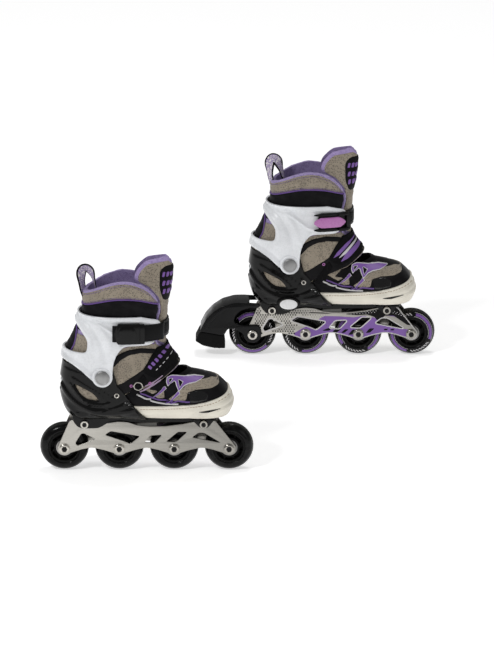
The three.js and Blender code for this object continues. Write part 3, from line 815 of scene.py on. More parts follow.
def strip_outline(points, width, taper=(1.0, 1.0)):
    """The outline of a line of that width in side view, its ends scaled by taper."""
    p = smooth_line(points, 5)
    tangents = np.gradient(p, axis=0)
    tangents /= np.linalg.norm(tangents, axis=1)[:, None]
    across = np.stack([-tangents[:, 1], tangents[:, 0]], 1)
    share = np.linspace(0, 1, len(p))
    widths = width / 2 * (taper[0] + (taper[1] - taper[0]) * share)
    widths = np.maximum(widths, 0.05)[:, None]
    return np.vstack([p + across * widths, (p - across * widths)[::-1]])


def cord_on_form(points, hand, offset, radius):
    """A round piping or thread laid on the form along a line given in side view."""
    line, normals = on_form(smooth_line(points), hand, offset)
    return swept(line, oval(radius, radius, 8), up=normals)


def stitches(points, hand, offset, length=2.2, pitch=3.6, radius=0.32):
    """A row of thread stitches along a line given in side view."""
    line = smooth_line(points, 10)
    reach = np.concatenate([[0], np.cumsum(np.linalg.norm(np.diff(line, axis=0), axis=1))])
    rows = []
    for start in np.arange(0.5, reach[-1] - length, pitch):
        at = start + np.array([0, 0.2, 0.5, 0.8, 1.0]) * length
        xz = np.stack([np.interp(at, reach, line[:, 0]), np.interp(at, reach, line[:, 1])], 1)
        where, normals = on_form(xz, hand, offset)
        where = where + normals * (np.array([-0.25, 0.1, 0.2, 0.1, -0.25]))[:, None]
        rows.append(swept(where, oval(radius, radius, 6), up=normals))
    return join(*rows)


def both_sides(make):
    """The same feature on the lateral and the medial side."""
    return join(make(LATERAL), make(MEDIAL))


def piping_pair(points, offset, radius):
    return both_sides(lambda hand: cord_on_form(points, hand, offset, radius))


def decal_pair(outlines, offset, thickness=0.35, size=1.6, holes=()):
    return both_sides(lambda hand: join(*[decal(outline, hand, offset, thickness, size, holes)
                                          for outline in outlines]))


# ------------------------------------------------------------------ bolts and turned heads
HEAD_LENGTH = 3.0
HEAD_GAP = 0.35
AXLE_RADIUS, AXLE_HEAD_RADIUS = 4.0, 6.5
BOLT_RADIUS, BOLT_HEAD_RADIUS = 3.0, 5.5
SOCKET_SHARE = 0.56


def socket_head(x, z, y_inner, length, radius, direction):
    """A bolt head on the frame's side with a hexagonal socket, its face towards direction."""
    segments = 24
    socket = radius * SOCKET_SHARE
    angles = np.arange(segments) * 2 * math.pi / segments
    hexagon = np.cos(math.pi / 6) / np.cos((angles % (math.pi / 3)) - math.pi / 6)
    profile = [(radius * 0.94, 0, 0), (radius, 0.25, 0), (radius, length - 0.9, 0),
               (radius * 0.9, length - 0.2, 0), (radius * 0.7, length, 0),
               (radius * (SOCKET_SHARE + 0.1), length, 0), (socket, length - 0.3, 1),
               (socket, length - 1.6, 1), (radius * 0.12, length - 1.9, 0)]
    vertices, faces = [], []
    for ring_radius, depth, is_hexagon in profile:
        r = ring_radius * (hexagon * 1.08 if is_hexagon else 1)
        vertices.append(np.stack([x + r * np.cos(angles), np.full(segments, direction * (y_inner + depth)),
                                  z + r * np.sin(angles)], 1))
    for i in range(len(profile) - 1):
        for k in range(segments):
            n = (k + 1) % segments
            faces.append((i * segments + k, i * segments + n, (i + 1) * segments + n, (i + 1) * segments + k))
    faces.append(tuple(range(segments)))
    faces.append(tuple(range((len(profile) - 1) * segments, len(profile) * segments))[::-1])
    return np.vstack(vertices), faces


def socket_shade_disc(x, z, y, radius, direction):
    """A dark disc at the bottom of a bolt's socket: painted shade standing in for the shadow in the recess.
    """
    disc = [(0, y), (radius, y), (radius, y + 0.9), (radius * 0.6, y + 0.7), (0, y + 0.6)]
    return turned([(r, direction * depth) for r, depth in disc], 12, (x, 0, z))


def shank(x, z, radius, reach):
    return turned([(0, -reach), (radius, -reach), (radius, reach), (0, reach)], 20, (x, 0, z))


# ------------------------------------------------------------------ wheels
TYRE_SIDE = [(20.6, 9.6), (21.3, 11.2), (22.4, 11.7), (24.2, 11.2), (26.5, 10.3), (28.6, 8.7), (30.4, 6.3),
             (31.5, 3.3), (31.95, 0.9)]


SPOKES = 8
# Degrees of each step along a printed arc.
ARC_STEP = 2.5


def both_halves(half):
    return half + [(r, -y) for r, y in reversed(half)]


def ring_patch(r0, r1, start, end, slant=0.0):
    """A thin printed arc on the tyre's lateral side, angles in degrees, about the wheel's own axis."""
    radii = np.linspace(r0, r1, 4)
    angles = np.radians(np.linspace(start, end, max(3, int((end - start) / ARC_STEP) + 1)))
    side_r, side_y = np.array(TYRE_SIDE[2:]).T
    top, bottom, count = [], [], len(radii)
    for angle in angles:
        for r in radii:
            bent = angle + math.radians(slant) * (r - r0) / (r1 - r0)
            y = -np.interp(r, side_r, side_y)
            place = np.array([r * math.cos(bent), y, r * math.sin(bent)])
            top.append(place + (0, -0.16, 0))
            bottom.append(place + (0, 0.4, 0))
    quads = [(i * count + k, (i + 1) * count + k, (i + 1) * count + k + 1, i * count + k + 1)
             for i in range(len(angles) - 1) for k in range(count - 1)]
    triangles = np.array([t for a, b, c, d in quads for t in ((a, b, c), (a, c, d))])
    top, bottom = np.array(top), np.array(bottom)
    return shell_of(top, bottom, triangles, top[:, [0, 2]])


def wheel_pieces(i, x):
    centre = (x, 0, WHEEL_RADIUS)

    def place(*geometries):
        vertices, faces, _ = join(*geometries)
        return vertices + np.array(centre), faces, vertices[:, [0, 2, 1]]

    body = f"rolling_{i}"
    piece(f"tyre_{i}", place(turned(both_halves(TYRE_SIDE), 72)), body, URETHANE, [f"wheel_{i}"],
          sharp=60)
    rim = turned(both_halves([(18.0, 9.8), (18.4, 10.4), (20.9, 10.6), (21.1, 10.2)]), 48)
    sleeve = turned(both_halves([(11.2, 11.2), (11.6, 11.7), (13.2, 11.7), (13.8, 11.0)]), 40)
    web = turned([(13.4, -1.2), (18.6, -1.2), (18.6, 1.2), (13.4, 1.2)], 40)
    spokes = []
    for k in range(SPOKES):
        angle = math.radians(360 / SPOKES * k + 12)
        lean = math.radians(360 / SPOKES * k + 26)
        path = [(13 * math.cos(angle), 0, 13 * math.sin(angle)),
                (16 * math.cos((angle + lean) / 2), 0, 16 * math.sin((angle + lean) / 2)),
                (19 * math.cos(lean), 0, 19 * math.sin(lean))]
        spokes.append(swept(path, oval(7.5, 1.5, 12, 4), up=[(-p[2], 0, p[0]) for p in path]))
    piece(f"hub_{i}", place(rim, sleeve, web, *spokes), body, HUB_BLACK)
    race = [(4.4, 5.2), (4.4, 11.7), (4.6, 11.9), (6.2, 11.9), (6.5, 11.3), (9.2, 11.3), (9.5, 11.9),
            (10.7, 11.9), (11.0, 11.6), (11.0, 5.2)]
    far_race = [(r, -y) for r, y in reversed(race)]
    spacer = turned([(4.4, -5.1), (6.0, -5.1), (6.0, 5.1), (4.4, 5.1)], 24)
    piece(f"bearing_{i}", place(turned(race, 40), turned(far_race, 40), spacer), body, BEARING_STEEL,
          [f"bearing_set_{i}"])
    start = 40 * i
    arcs = [ring_patch(24.8, 28.0, start + turn, start + turn + 96) for turn in (0, 180)]
    piece(f"ring_purple_{i}", place(*arcs), body, PRINT_PURPLE)
    strokes = [ring_patch(24.8, 27.6, start + turn + 106 + 9 * k, start + turn + 110 + 9 * k, slant=7)
               for turn in (0, 180) for k in range(7)]
    strokes += [ring_patch(28.6, 28.95, start + turn - 4, start + turn + 100) for turn in (0, 180)]
    strokes += [ring_patch(23.4, 23.8, start + turn + 4, start + turn + 100) for turn in (0, 180)]
    piece(f"ring_white_{i}", place(*strokes), body, PRINT_WHITE)


def bolt_pieces(stem, node, place, shaft_radius, head_radius, reach, shaft_end, socket_radius, socket_at,
                sides):
    """A bolt through the frame, with a head on each face at reach and a black disc of painted shade at the
    bottom of each socket.
    """
    heads = [socket_head(*place, reach, HEAD_LENGTH, head_radius, hand) for hand in (LATERAL, MEDIAL)]
    # Painted shade: black discs in the sockets stand in for the shadow deep in each recess.
    floors = [socket_shade_disc(*place, socket_at, socket_radius, hand) for hand in (LATERAL, MEDIAL)]
    piece(stem.format("heads"), join(shank(*place, shaft_radius, shaft_end), *heads), "chassis", BRIGHT_STEEL,
          [node], sides)
    piece(stem.format("socket_shade"), join(*floors), "chassis", BLACK_MATTE, sides=sides)


def axle_pieces(i, x):
    for side in SIDES:
        reach = (BRAKE_OUTER if side == "right" and i == 1 else PLATE_OUTER) + HEAD_GAP
        bolt_pieces("axle_{}_%d" % i, f"axle_{i}", (x, WHEEL_RADIUS), AXLE_RADIUS, AXLE_HEAD_RADIUS, reach,
                    reach + 0.5, 3.5, reach + 1.2, [side])


for number, axle_x in enumerate(AXLE_X, 1):
    wheel_pieces(number, axle_x)
    axle_pieces(number, axle_x)


# ------------------------------------------------------------------ frame
def arc(centre, radius, start, end, steps):
    return [tuple(p) for p in circle(centre, radius, steps + 1, start, end)]


FRAME_TOP = [(89, 71.4), (74, 71.2), (60, 68.6), (46, 65.6), (24, 62.8), (3.5, 62.5), (-12, 64), (-24, 68.4),
             (-37, 69.4), (-52, 67), (-66, 67.6), (-84, 72.4), (-101, 71)]
FRAME_WINDOWS = [
    [(-93.7, 39.5), (-86, 52.5), (-82, 53), (-67, 45), (-91, 36)],
    [(-54.7, 51), (-47, 56), (-9, 49), (-21.6, 38.4), (-28, 41.6)],
    [(-3, 40.7), (4.7, 50), (20, 50.8), (10, 40)],
    [(25.5, 41.6), (41, 55), (53, 55), (38.6, 41.2)],
    [(59.5, 47.4), (68, 54), (75.4, 53.6), (97, 40)],
]
AXLE_CENTRES = [(x, WHEEL_RADIUS) for x in AXLE_X]
FRAME_LOWER = (arc(AXLE_CENTRES[0], 9, 165, 315, 10) + [(-84, 31.4), (-72, 33.5), (-56, 30)]
               + arc(AXLE_CENTRES[1], 8.5, 235, 305, 6) + [(-14, 30.5), (0, 33.5), (14, 30.5)]
               + arc(AXLE_CENTRES[2], 8.5, 235, 305, 6) + [(56, 30), (72, 33.5), (84, 31.4)]
               + arc(AXLE_CENTRES[3], 9, 225, 385, 10))
FRAME_SIDE = rounded(FRAME_LOWER + FRAME_TOP, 3.5, 3)
WINDOWS = [rounded(window, 2.2, 4) for window in FRAME_WINDOWS]
FRAME_HOLES = [circle(centre, 4.4, 20) for centre in AXLE_CENTRES]
FRAME_HOLES += [circle(centre, 3.4, 20) for centre in (REAR_BOLT, FRONT_BOLT)]


def frame_body():
    plates = [plate(FRAME_SIDE, WINDOWS + FRAME_HOLES, *span, bevel=0.45)
              for span in ((PLATE_INNER, PLATE_OUTER), (-PLATE_OUTER, -PLATE_INNER))]
    bosses = []
    for x, z in AXLE_CENTRES:
        for hand in (LATERAL, MEDIAL):
            ring = [(4.5, 12.4), (6.6, 12.4), (7.0, 12.8), (7.0, 14.4), (4.5, 14.4)]
            bosses.append(turned([(r, hand * y) for r, y in ring], 32, (x, 0, z)))
    webs = [block((x0, -PLATE_INNER - 0.6, 57.4), (x1, PLATE_INNER + 0.6, 60.4), 0.5)
            for x0, x1 in ((-87, -60), (-13, 13), (60, 84))]
    return join(*plates, *bosses, *webs)


piece("frame_plates", frame_body(), "chassis", FRAME_SILVER, ["frame"], sharp=35)


# Printed film on the lateral plate, which stays inside the plate's edges and round its windows.
PRINT_FACE = -PLATE_OUTER


def plate_field(xz, margin=1.0, window_margin=2.6):
    value = inside_distance(xz, FRAME_SIDE) - margin
    for window in WINDOWS:
        value = np.minimum(value, -inside_distance(xz, window) - window_margin)
    for centre in AXLE_CENTRES:
        value = np.minimum(value, np.hypot(xz[:, 0] - centre[0], xz[:, 1] - centre[1]) - 7.2)
    return value


def flat_print(area, low, high, lift=0.12, size=1.6, margin=1.0, window_margin=2.6):
    xz, triangles = flat_grid(*(np.arange(a, b + size, size) for a, b in zip(low, high)))
    value = np.minimum(plate_field(xz, margin, window_margin), area(xz))
    xz, _, triangles = cut_flat(xz, value, triangles)
    top = np.stack([xz[:, 0], np.full(len(xz), PRINT_FACE - lift), xz[:, 1]], 1)
    bottom = top + (0, lift + 0.1, 0)
    return shell_of(top, bottom, triangles, xz)


def in_outline(points, radius=2.0):
    outline = rounded(points, radius, 3)
    return lambda xz: inside_distance(xz, outline)


def window_outlines():
    """White lines round the windows and along the frame's lower edge."""
    def area(xz):
        value = np.full(len(xz), -FAR)
        for window in WINDOWS:
            away = -inside_distance(xz, window)
            value = np.maximum(value, np.minimum(away - 0.5, 1.75 - away))
        edge = inside_distance(xz, FRAME_SIDE)
        lower = np.minimum(np.minimum(edge - 0.6, 1.7 - edge), np.maximum(48 - xz[:, 1], xz[:, 0] - 88))
        return np.maximum(value, np.minimum(lower, xz[:, 0] + 60))
    return flat_print(area, (-116, 22), (118, 73), 0.14, 1.1, 0.0, 0.0)


def halftone():
    """Rows of dots that shrink towards the front of the plate."""
    dots = []
    for row in range(14):
        for column in range(32):
            x = -104 + column * 3.4 + (row % 2) * 1.7
            z = 30 + row * 2.9
            radius = 1.2 * min(1.0, max(0.0, (-8 - x) / 62 + 0.35)) * (0.85 + 0.15 * math.sin(row * 1.3))
            if radius < 0.3 or plate_field(np.array([(x, z)]), 1.0, 2.8)[0] < radius:
                continue
            if (-97 < x < -64 and z > 60) or (x > -50 and z < 44):
                continue
            disc = [(0, PRINT_FACE - 0.14), (radius, PRINT_FACE - 0.14), (radius, PRINT_FACE + 0.1),
                    (0, PRINT_FACE + 0.1)]
            dots.append(turned(disc, 8, (x, 0, z)))
    return join(*dots)


PURPLE_AREAS = [
    [(-54, 24), (-50, 34), (-40, 40), (-30, 45), (-20, 52), (-10, 57.5), (10, 57), (30, 55.5), (44, 58),
     (58, 55), (66, 49), (84, 44), (98, 39), (122, 36), (112, 20)],
    [(60, 62), (78, 62.4), (108, 49), (104, 47.4), (84, 57), (66, 58.6)],
]
piece("frame_print_purple",
      join(*[flat_print(in_outline(points, 0.8), (-60, 20), (122, 66), 0.12, 1.2, 1.7, 1.7)
                                   for points in PURPLE_AREAS]), "chassis", PRINT_PURPLE)
WHITE_SPECKS = [(26 + 4 * column + 2 * (row % 2), 60.4 + 2.5 * row + 0.07 * (4 * column) - 0.2 * row)
                for row in range(3)
                for column in range(9)]
WHITE_SPECKS += [(78 + 3.6 * column + 1.8 * (row % 2), 66.2 - 3 * row - 1.2 * column) for row in range(2)
                 for column in range(6)]


def specks():
    """Small round dots over the dark part of the print."""
    dots = []
    for x, z in WHITE_SPECKS:
        if plate_field(np.array([(x, z)]), 1.2, 2.6)[0] > 0:
            disc = [(0, PRINT_FACE - 0.26), (0.6, PRINT_FACE - 0.26), (0.6, PRINT_FACE - 0.1),
                    (0, PRINT_FACE - 0.1)]
            dots.append(turned(disc, 6, (x, 0, z)))
    return join(*dots)


piece("frame_print_lines", join(window_outlines(), specks()), "chassis", PRINT_WHITE)
BLACK_AREAS = [
    [(18, 76), (19, 60), (34, 58.6), (48, 59.6), (58, 56), (63, 49), (72, 58), (84, 58), (102, 45), (108, 44),
     (98, 62), (88, 76)],
    [(0, 34.6), (7, 34.2), (13, 39), (5, 39.2)],
    [(12, 33.6), (17, 33.4), (23, 38.6), (18, 38.8)],
    [(22, 30.8), (28, 31), (34, 38), (28, 38.2)],
    [(46, 33.4), (52, 33.8), (58, 40), (51, 39.8)],
    [(-14, 36.4), (-4, 36.6), (2, 40.6), (-6, 40.2)],
    [(70, 37.2), (75, 37.2), (76.6, 39.4), (71.6, 39.4)],
    [(79, 37), (84, 36.8), (85.6, 39), (80.6, 39.2)],
    [(-30, 61.6), (-8, 60.8), (8, 60.2), (-8, 62.2), (-30, 63)],
]
black_print = [flat_print(in_outline(points, 0.8), (-34, 26), (110, 78), 0.2, 1.1, 1.7, 1.7)
               for points in BLACK_AREAS]
piece("frame_print_black", join(halftone(), *black_print), "chassis", PRINT_BLACK)


# ------------------------------------------------------------------ hard shells
RELIEF_FLOOR = -1.9


def side_relief(*features):
    """Relief from (line, height, width) features seen in side view; heights below zero are grooves."""
    lines = [(smooth_line(points, 5), height, width) for points, height, width in features]

    def relief(points, f):
        xz = points[:, [0, 2]]
        total = np.zeros(len(points))
        for line, height, width in lines:
            total += height * np.exp(-(line_distance(xz, line) / width) ** 2)
        return np.maximum(total, RELIEF_FLOOR)
    return relief


BASE_SIDE = rounded([(-125, 149), (-84, 152), (-58, 155), (-44, 150), (-38, 126), (-16, 97), (6, 77.6),
                     (6, 60), (-125, 60)], 4)
BASE_WINDOW = rounded([(-93, 126), (-69, 115), (-60, 104), (-76, 105.5), (-85, 112)], 5, 5)
HEEL_NOTCH = (-106, 9, 113, 128)


def base_field(points):
    """Positive on the base shell: its outline less the side windows, heel notch and button hole."""
    value = outline_field(BASE_SIDE, BASE_WINDOW)(points)
    limit, half, low, high = HEEL_NOTCH
    outside = np.maximum.reduce([points[:, 0] - limit, np.abs(points[:, 1]) - half, low - points[:, 2],
                                 points[:, 2] - high])
    value = np.minimum(value, outside)
    x, z = BUTTON_CENTRE
    oval_gap = (np.hypot((points[:, 0] - x) / 13.3, (points[:, 2] - z) / 8.3) - 1) * 8
    return np.where(points[:, 1] < 0, np.minimum(value, oval_gap), value)


BASE_FEATURES = [
    ([(-44, 152), (-38, 126), (-16, 97), (6, 77.6)], 1.1, 4.5),
    ([(-42, 150), (-46, 128), (-28, 104), (-8, 84)], -0.9, 1.8),
    ([(-106, 126), (-96, 112), (-84, 101), (-66, 95), (-44, 97), (-26, 104)], -1.1, 2.2),
    ([(-106, 121), (-97, 107), (-84, 96.5), (-66, 90), (-40, 90), (-16, 93)], 1.7, 2.4),
    ([(-98, 94), (-84, 83), (-60, 79), (-30, 77)], 1.3, 2.0),
    ([(-93, 131), (-78, 123), (-62, 113), (-50, 100), (-44, 94)], 1.0, 2.4),
    ([(-96, 124), (-86, 110), (-76, 101), (-60, 99), (-50, 101)], 1.4, 1.6),
    ([(-100, 146), (-84, 143), (-70, 137), (-60, 124), (-44, 112)], -0.8, 2.0),
    ([(-88, 89), (-62, 85), (-34, 83.5), (-10, 80)], -1.3, 1.8),
]


OVAL_STEPS = 48


def oval_rings(profile):
    """Oval rings about the size button's axis, from (half length, half height, y) rows."""
    angles = np.arange(OVAL_STEPS) * 2 * math.pi / OVAL_STEPS
    x, z = BUTTON_CENTRE
    rings = [np.stack([x + a * np.cos(angles), np.full(OVAL_STEPS, y), z + b * np.sin(angles)], 1)
             for a, b, y in profile]
    return np.vstack(rings)


def oval_faces(rows, closed):
    last = rows if closed else rows - 1
    return [(i * OVAL_STEPS + k, i * OVAL_STEPS + (k + 1) % OVAL_STEPS,
             (i + 1) % rows * OVAL_STEPS + (k + 1) % OVAL_STEPS, (i + 1) % rows * OVAL_STEPS + k)
            for i in range(last) for k in range(OVAL_STEPS)]


def oval_ring():
    """The raised collar on the shell round the size button."""
    profile = [(12.5, 7.5, -34), (12.5, 7.5, -40.9), (13.0, 8.0, -41.4), (14.2, 8.6, -41.4),
               (15.4, 9.8, -40.2), (16.2, 10.6, -34)]
    return oval_rings(profile), oval_faces(len(profile), True)


def base_shell():
    patch = Patch((4.9, 11.6), (-math.pi, math.pi), (120, 130), base_field)
    shell = patch.thicken(4.2, 6.9, side_relief(*BASE_FEATURES), 1.0)
    rail = [(60, 61), (84, 61), (89, 69), (92, 71.8), (92, 74.3), (-58, 74.3), (-58, 76), (-97, 76),
            (-97, 70), (-90, 61), (-62, 61), (-54, 67), (54, 67)]
    rear_lug = [(-97, 82), (-97, 71), (-90, 62.6), (-84, 61), (-64, 61), (-56, 65), (-48, 71), (-46, 82)]
    front_lug = [(56, 74.3), (60, 71.8), (69, 62.6), (75, 60.6), (81, 62.4), (88, 71.8), (92, 74.3)]
    hole = [circle(REAR_BOLT, 3.5, 20), circle(FRONT_BOLT, 3.5, 20)]
    parts = [plate(rounded(rail, 4), hole, -13.2, 13.2, 0.9),
             block((56, -LUG_OUTER, 71.8), (92, LUG_OUTER, 74.3), 0.8)]
    for y0, y1 in ((LUG_INNER, LUG_OUTER), (-LUG_OUTER, -LUG_INNER)):
        parts.append(plate(rounded(rear_lug, 5), hole[:1], y0, y1, 0.8))
        parts.append(plate(rounded(front_lug, 4), hole[1:], y0, y1, 0.8))
    return join(shell, *parts, oval_ring())


piece("base", base_shell(), "chassis", BLACK_GLOSS, ["base_shell"], sharp=38)


def button_cap():
    """The dished cap of the size button, which stays clear of the shell when it is pushed in."""
    profile = [(10.6, 5.9, -41.9), (11.8, 6.8, -42.0), (12.0, 7.0, -42.3), (11.4, 6.4, -42.8),
               (9.0, 5.0, -43.1), (5.0, 2.8, -43.25), (0.2, 0.1, -43.3)]
    last = (len(profile) - 1) * OVAL_STEPS
    ends = [tuple(range(OVAL_STEPS)), tuple(range(last, last + OVAL_STEPS))[::-1]]
    return oval_rings(profile), oval_faces(len(profile), False) + ends


piece("size_button_cap", button_cap(), "button", OVAL_WHITE, ["size_button"])


def heel_reflector():
    patch = Patch((6.0, 8.6), (math.pi - 0.5, math.pi + 0.5), (30, 24), lambda p: np.minimum.reduce(
        [10.5 - np.abs(p[:, 1]), p[:, 2] - 111.5, 129.5 - p[:, 2]]))
    return patch.thicken(3.6, 4.6, edge_radius=0.5)


piece("heel_reflector", heel_reflector(), "chassis", REFLECTIVE)

for label, place in (("rear", REAR_BOLT), ("front", FRONT_BOLT)):
    bolt_pieces(f"frame_bolt_{label}_{{}}", f"frame_bolt_{label}", place, BOLT_RADIUS, BOLT_HEAD_RADIUS,
                LUG_OUTER + HEAD_GAP, LUG_OUTER + 0.5, 2.9, LUG_OUTER + 1.5, SIDES)


def shell_screw(hand):
    """The screw that holds the boot to the shell, sunk in the front edge of the shell."""
    (where,), (normal,) = on_form([(-38.5, 112.5)], hand, 6.4)
    head = socket_head(0, 0, 0, 1.8, 3.6, -1)
    turn = Vector((0, -1, 0)).rotation_difference(Vector(normal)).to_matrix()
    return moved(head, where, turn)


piece("shell_screws", both_sides(shell_screw), "chassis", BRIGHT_STEEL)

# The sliding toe: a white rim shell and the fabric upper above it.
TOE_RIM = [(-40, 97), (-8, 97), (22, 97.6), (49, 99.4), (74, 103), (94, 107.6), (108.5, 111.4), (125, 113)]
RIM_CURVE = smooth_line(TOE_RIM, 6)


def above_rim(xz):
    return xz[:, 1] - np.interp(xz[:, 0], RIM_CURVE[:, 0], RIM_CURVE[:, 1])


def below_rim(by):
    return [(x, z - by) for x, z in TOE_RIM]


TOE_FEATURES = [(below_rim(1.2), 0.7, 1.6), (below_rim(5.6), -0.7, 1.0), (below_rim(9), 0.4, 1.6),
                (below_rim(12.5), -0.5, 1.2), ([(-20, 80), (20, 82.5), (56, 86), (92, 92), (112, 96)], 0.9,
                                               2.2), ([(40, 80), (70, 83), (98, 89)], -0.6, 1.2)]


def toe_shell():
    def field(points):
        xz = points[:, [0, 2]]
        return np.minimum(-above_rim(xz), xz[:, 0] + 40)
    return Patch((9.2, 17), (-math.pi, math.pi), (110, 120), field).thicken(0.5, 3.7,
                                                                            side_relief(*TOE_FEATURES), 1.2)


piece("toe_rim", toe_shell(), "toe", RIM_WHITE, ["toe_shell"])
piece("toe_rim_stitching",
      both_sides(lambda hand: stitches([(x, z - 3.4) for x, z in TOE_RIM[1:7]], hand, 4.0)), "toe",
      STITCH_BROWN)
RIM_SLIT = rounded([(64, 91), (80, 90.6), (99, 95.6), (82, 93.6)], 1, 3)
piece("toe_rim_slit", decal_pair([RIM_SLIT], 4.1, 0.2, 1.0), "toe", BLACK_MATTE)

UPPER_SIDE = np.array([(-29.5, 97.35)] + [(x, z + 0.35) for x, z in TOE_RIM[1:]]
                      + [(125, 160), (58, 160), (50, 150.5), (20, 130), (8, 126), (-29.5, 112)])


def toe_upper():
    def field(points):
        xz = points[:, [0, 2]]
        return np.minimum(inside_distance(xz, UPPER_SIDE), above_rim(xz) - 0.35)
    return Patch((7.6, 17), (-math.pi, math.pi), (120, 110), field).thicken(0.5, 2.8, edge_radius=0.8)


piece("toe_fabric", toe_upper(), "toe", VAMP_BLACK, ["toe_upper"])

# The white cuff.
CUFF_SIDE = rounded([(-86, 231), (-47, 221), (-13, 221), (14, 213), (5, 180), (-30, 180), (-39, 168),
                     (-43, 156), (-44.5, 132), (-53.5, 122.6), (-67.5, 131), (-83, 146), (-98, 155),
                     (-125, 158), (-125, 170), (-103, 208), (-96, 208)], 7, 6)
CUFF_WINDOW = rounded([(-130, 209), (-89, 207), (-73, 185), (-75, 168.5), (-97, 167.5), (-130, 170)], 6, 5)


def cuff_field(points):
    """Positive inside the cuff's outline and outside its rear window."""
    value = inside_distance(points[:, [0, 2]], CUFF_SIDE)
    return np.minimum(value, -inside_distance(points[:, [0, 2]], CUFF_WINDOW))


CUFF_FEATURES = [
    ([(-92, 224), (-60, 216), (-30, 215.6), (-4, 214), (12, 208)], 1.6, 2.0),
    ([(-88, 217), (-60, 210.5), (-36, 209), (-10, 207.5), (8, 203)], -2.0, 2.4),
    ([(-58, 209), (-48, 202), (-34, 191), (-18, 186), (4, 184.6)], 2.4, 1.7),
    ([(-46, 204), (-30, 199), (-14, 195), (2, 194)], -2.0, 6.0),
    ([(-76, 212), (-64, 196), (-56, 178), (-53, 160)], -1.8, 3.0),
    ([(-64, 212), (-54, 198), (-47, 182), (-45, 170)], 1.3, 2.4),
    ([(-99, 163), (-88, 158), (-76, 150), (-67, 140)], -1.2, 2.2),
    ([(-30, 182.5), (-39, 169), (-43, 156), (-44.5, 136)], 1.3, 2.0),
    ([(-98, 157), (-83, 148), (-67, 133)], 1.2, 1.8),
    ([(-86, 211), (-69.5, 186), (-71.5, 164)], 1.2, 2.0),
]


def cuff():
    patch = Patch((2.6, 9.0), (-math.pi, math.pi), (120, 150), cuff_field)
    rings = []
    for hand in (LATERAL, MEDIAL):
        profile = [(4.0, 40.5), (4.0, 43.6), (9.8, 43.6), (10.4, 43.9), (12.2, 43.6), (13.2, 42.6),
                   (13.6, 40.5)]
        rings.append(turned([(r, hand * y) for r, y in profile], 48, (CUFF_PIVOT[0], 0, CUFF_PIVOT[1])))
    return join(patch.thicken(7.6, 10.4, side_relief(*CUFF_FEATURES), 1.3), *rings)


piece("cuff_shell", cuff(), "ankle", WHITE_PLASTIC, ["cuff"], sharp=45)

for label, hand in (("outer", LATERAL), ("inner", MEDIAL)):
    cap = [(0, 36.6), (3.4, 36.6), (3.4, 44.2), (9.0, 44.2), (9.3, 44.5), (9.3, 45.6), (8.7, 46.3),
           (7.5, 46.5), (7.2, 46.2), (6.8, 46.3), (4.0, 46.9), (0, 47.1)]
    piece(f"pivot_cap_{label}",
          turned([(r, hand * y) for r, y in cap], 48, (CUFF_PIVOT[0], 0, CUFF_PIVOT[1])), "chassis", CAP_GREY,
          [f"cuff_pivot_{label}"])

# ------------------------------------------------------------------ cuff closure
LEG_CENTRE, LEG_HALF_LENGTH, LEG_HALF_WIDTH, LEG_POWER = -31, 53.5, 31.2, 2.2
CUFF_OUTER = 10.4


def leg_point(turn, offset):
    """A point an offset out from the leg's oval section at the buckle, at a turn from the front."""
    c, s = np.cos(turn), np.sin(turn)
    x = LEG_CENTRE + (LEG_HALF_LENGTH + offset) * np.sign(c) * np.abs(c) ** (2 / LEG_POWER)
    y = (LEG_HALF_WIDTH + offset) * np.sign(s) * np.abs(s) ** (2 / LEG_POWER)
    return x, y


def leg_band(turn0, turn1, inner, outer, z0, z1, steps=24, rounding=1.0, tip=0.0):
    """A band round the leg with a rounded section; its height can shrink towards the ends."""
    turns = np.linspace(turn0, turn1, steps + 1)
    rows = []
    for k, turn in enumerate(turns):
        low, high = inner(turn), outer(turn)
        ends = min(k, steps - k) / steps
        squeeze = 1.0 if tip <= 0 else min(1.0, math.sqrt(max(ends / tip, 0.02)))
        middle, half = (z0 + z1) / 2, (z1 - z0) / 2 * squeeze
        r = min(rounding, (high - low) * 0.45, half * 0.9)
        section = [(low, -half), (high - r, -half), (high - 0.3 * r, -half + 0.3 * r), (high, -half + r),
                   (high, half - r), (high - 0.3 * r, half - 0.3 * r), (high - r, half), (low, half)]
        for offset, height in section:
            x, y = leg_point(turn, offset)
            rows.append((x, y, middle + height))
    count = 8
    faces = [(i * count + k, i * count + (k + 1) % count, (i + 1) * count + (k + 1) % count,
              (i + 1) * count + k)
             for i in range(steps) for k in range(count)]
    faces += [tuple(range(count)), tuple(range(steps * count, (steps + 1) * count))[::-1]]
    rows = np.array(rows)
    reach = np.repeat(np.linspace(0, abs(turn1 - turn0) * WEAVE_RADIUS, steps + 1), count)
    return rows, faces, np.stack([reach, rows[:, 2], np.zeros(len(rows))], 1)


def level(value):
    return lambda turn: value


def strap_offset(turn):
    """The strap lies on the tongue in front and rises onto the cuff's medial wing."""
    outside = CUFF_OUTER + 0.6
    t = min(1.0, max(0.0, (turn - 0.42) / 0.28))
    return 4.3 + (outside - 4.3) * t * t * (3 - 2 * t)


strap = leg_band(-0.62, 1.74, strap_offset, lambda t: strap_offset(t) + 2.4, 187, 209, 60, 0.7)
teeth = [leg_band(turn, turn + 0.022, lambda t: strap_offset(t) + 2.0, lambda t: strap_offset(t) + 3.0,
                  191, 205, 2, 0.3)
         for turn in np.arange(-0.55, 0.6, 0.05)]
piece("cuff_strap_band", join(strap, *teeth), "ankle", STRAP_BLACK, ["cuff_strap"])
bracket = [leg_band(1.2, 1.7, level(CUFF_OUTER + 0.6), level(CUFF_OUTER + 4.6), 184, 212, 16, 1.4, 0.12),
           leg_band(1.18, 1.27, level(CUFF_OUTER + 3.0), level(CUFF_OUTER + 6.0), 184.5, 211.5, 6, 1.2),
           leg_band(1.33, 1.64, level(CUFF_OUTER + 3.6), level(CUFF_OUTER + 5.4), 188, 208, 10, 1.0, 0.2)]
piece("strap_bracket", join(*bracket), "ankle", BLACK_GLOSS)

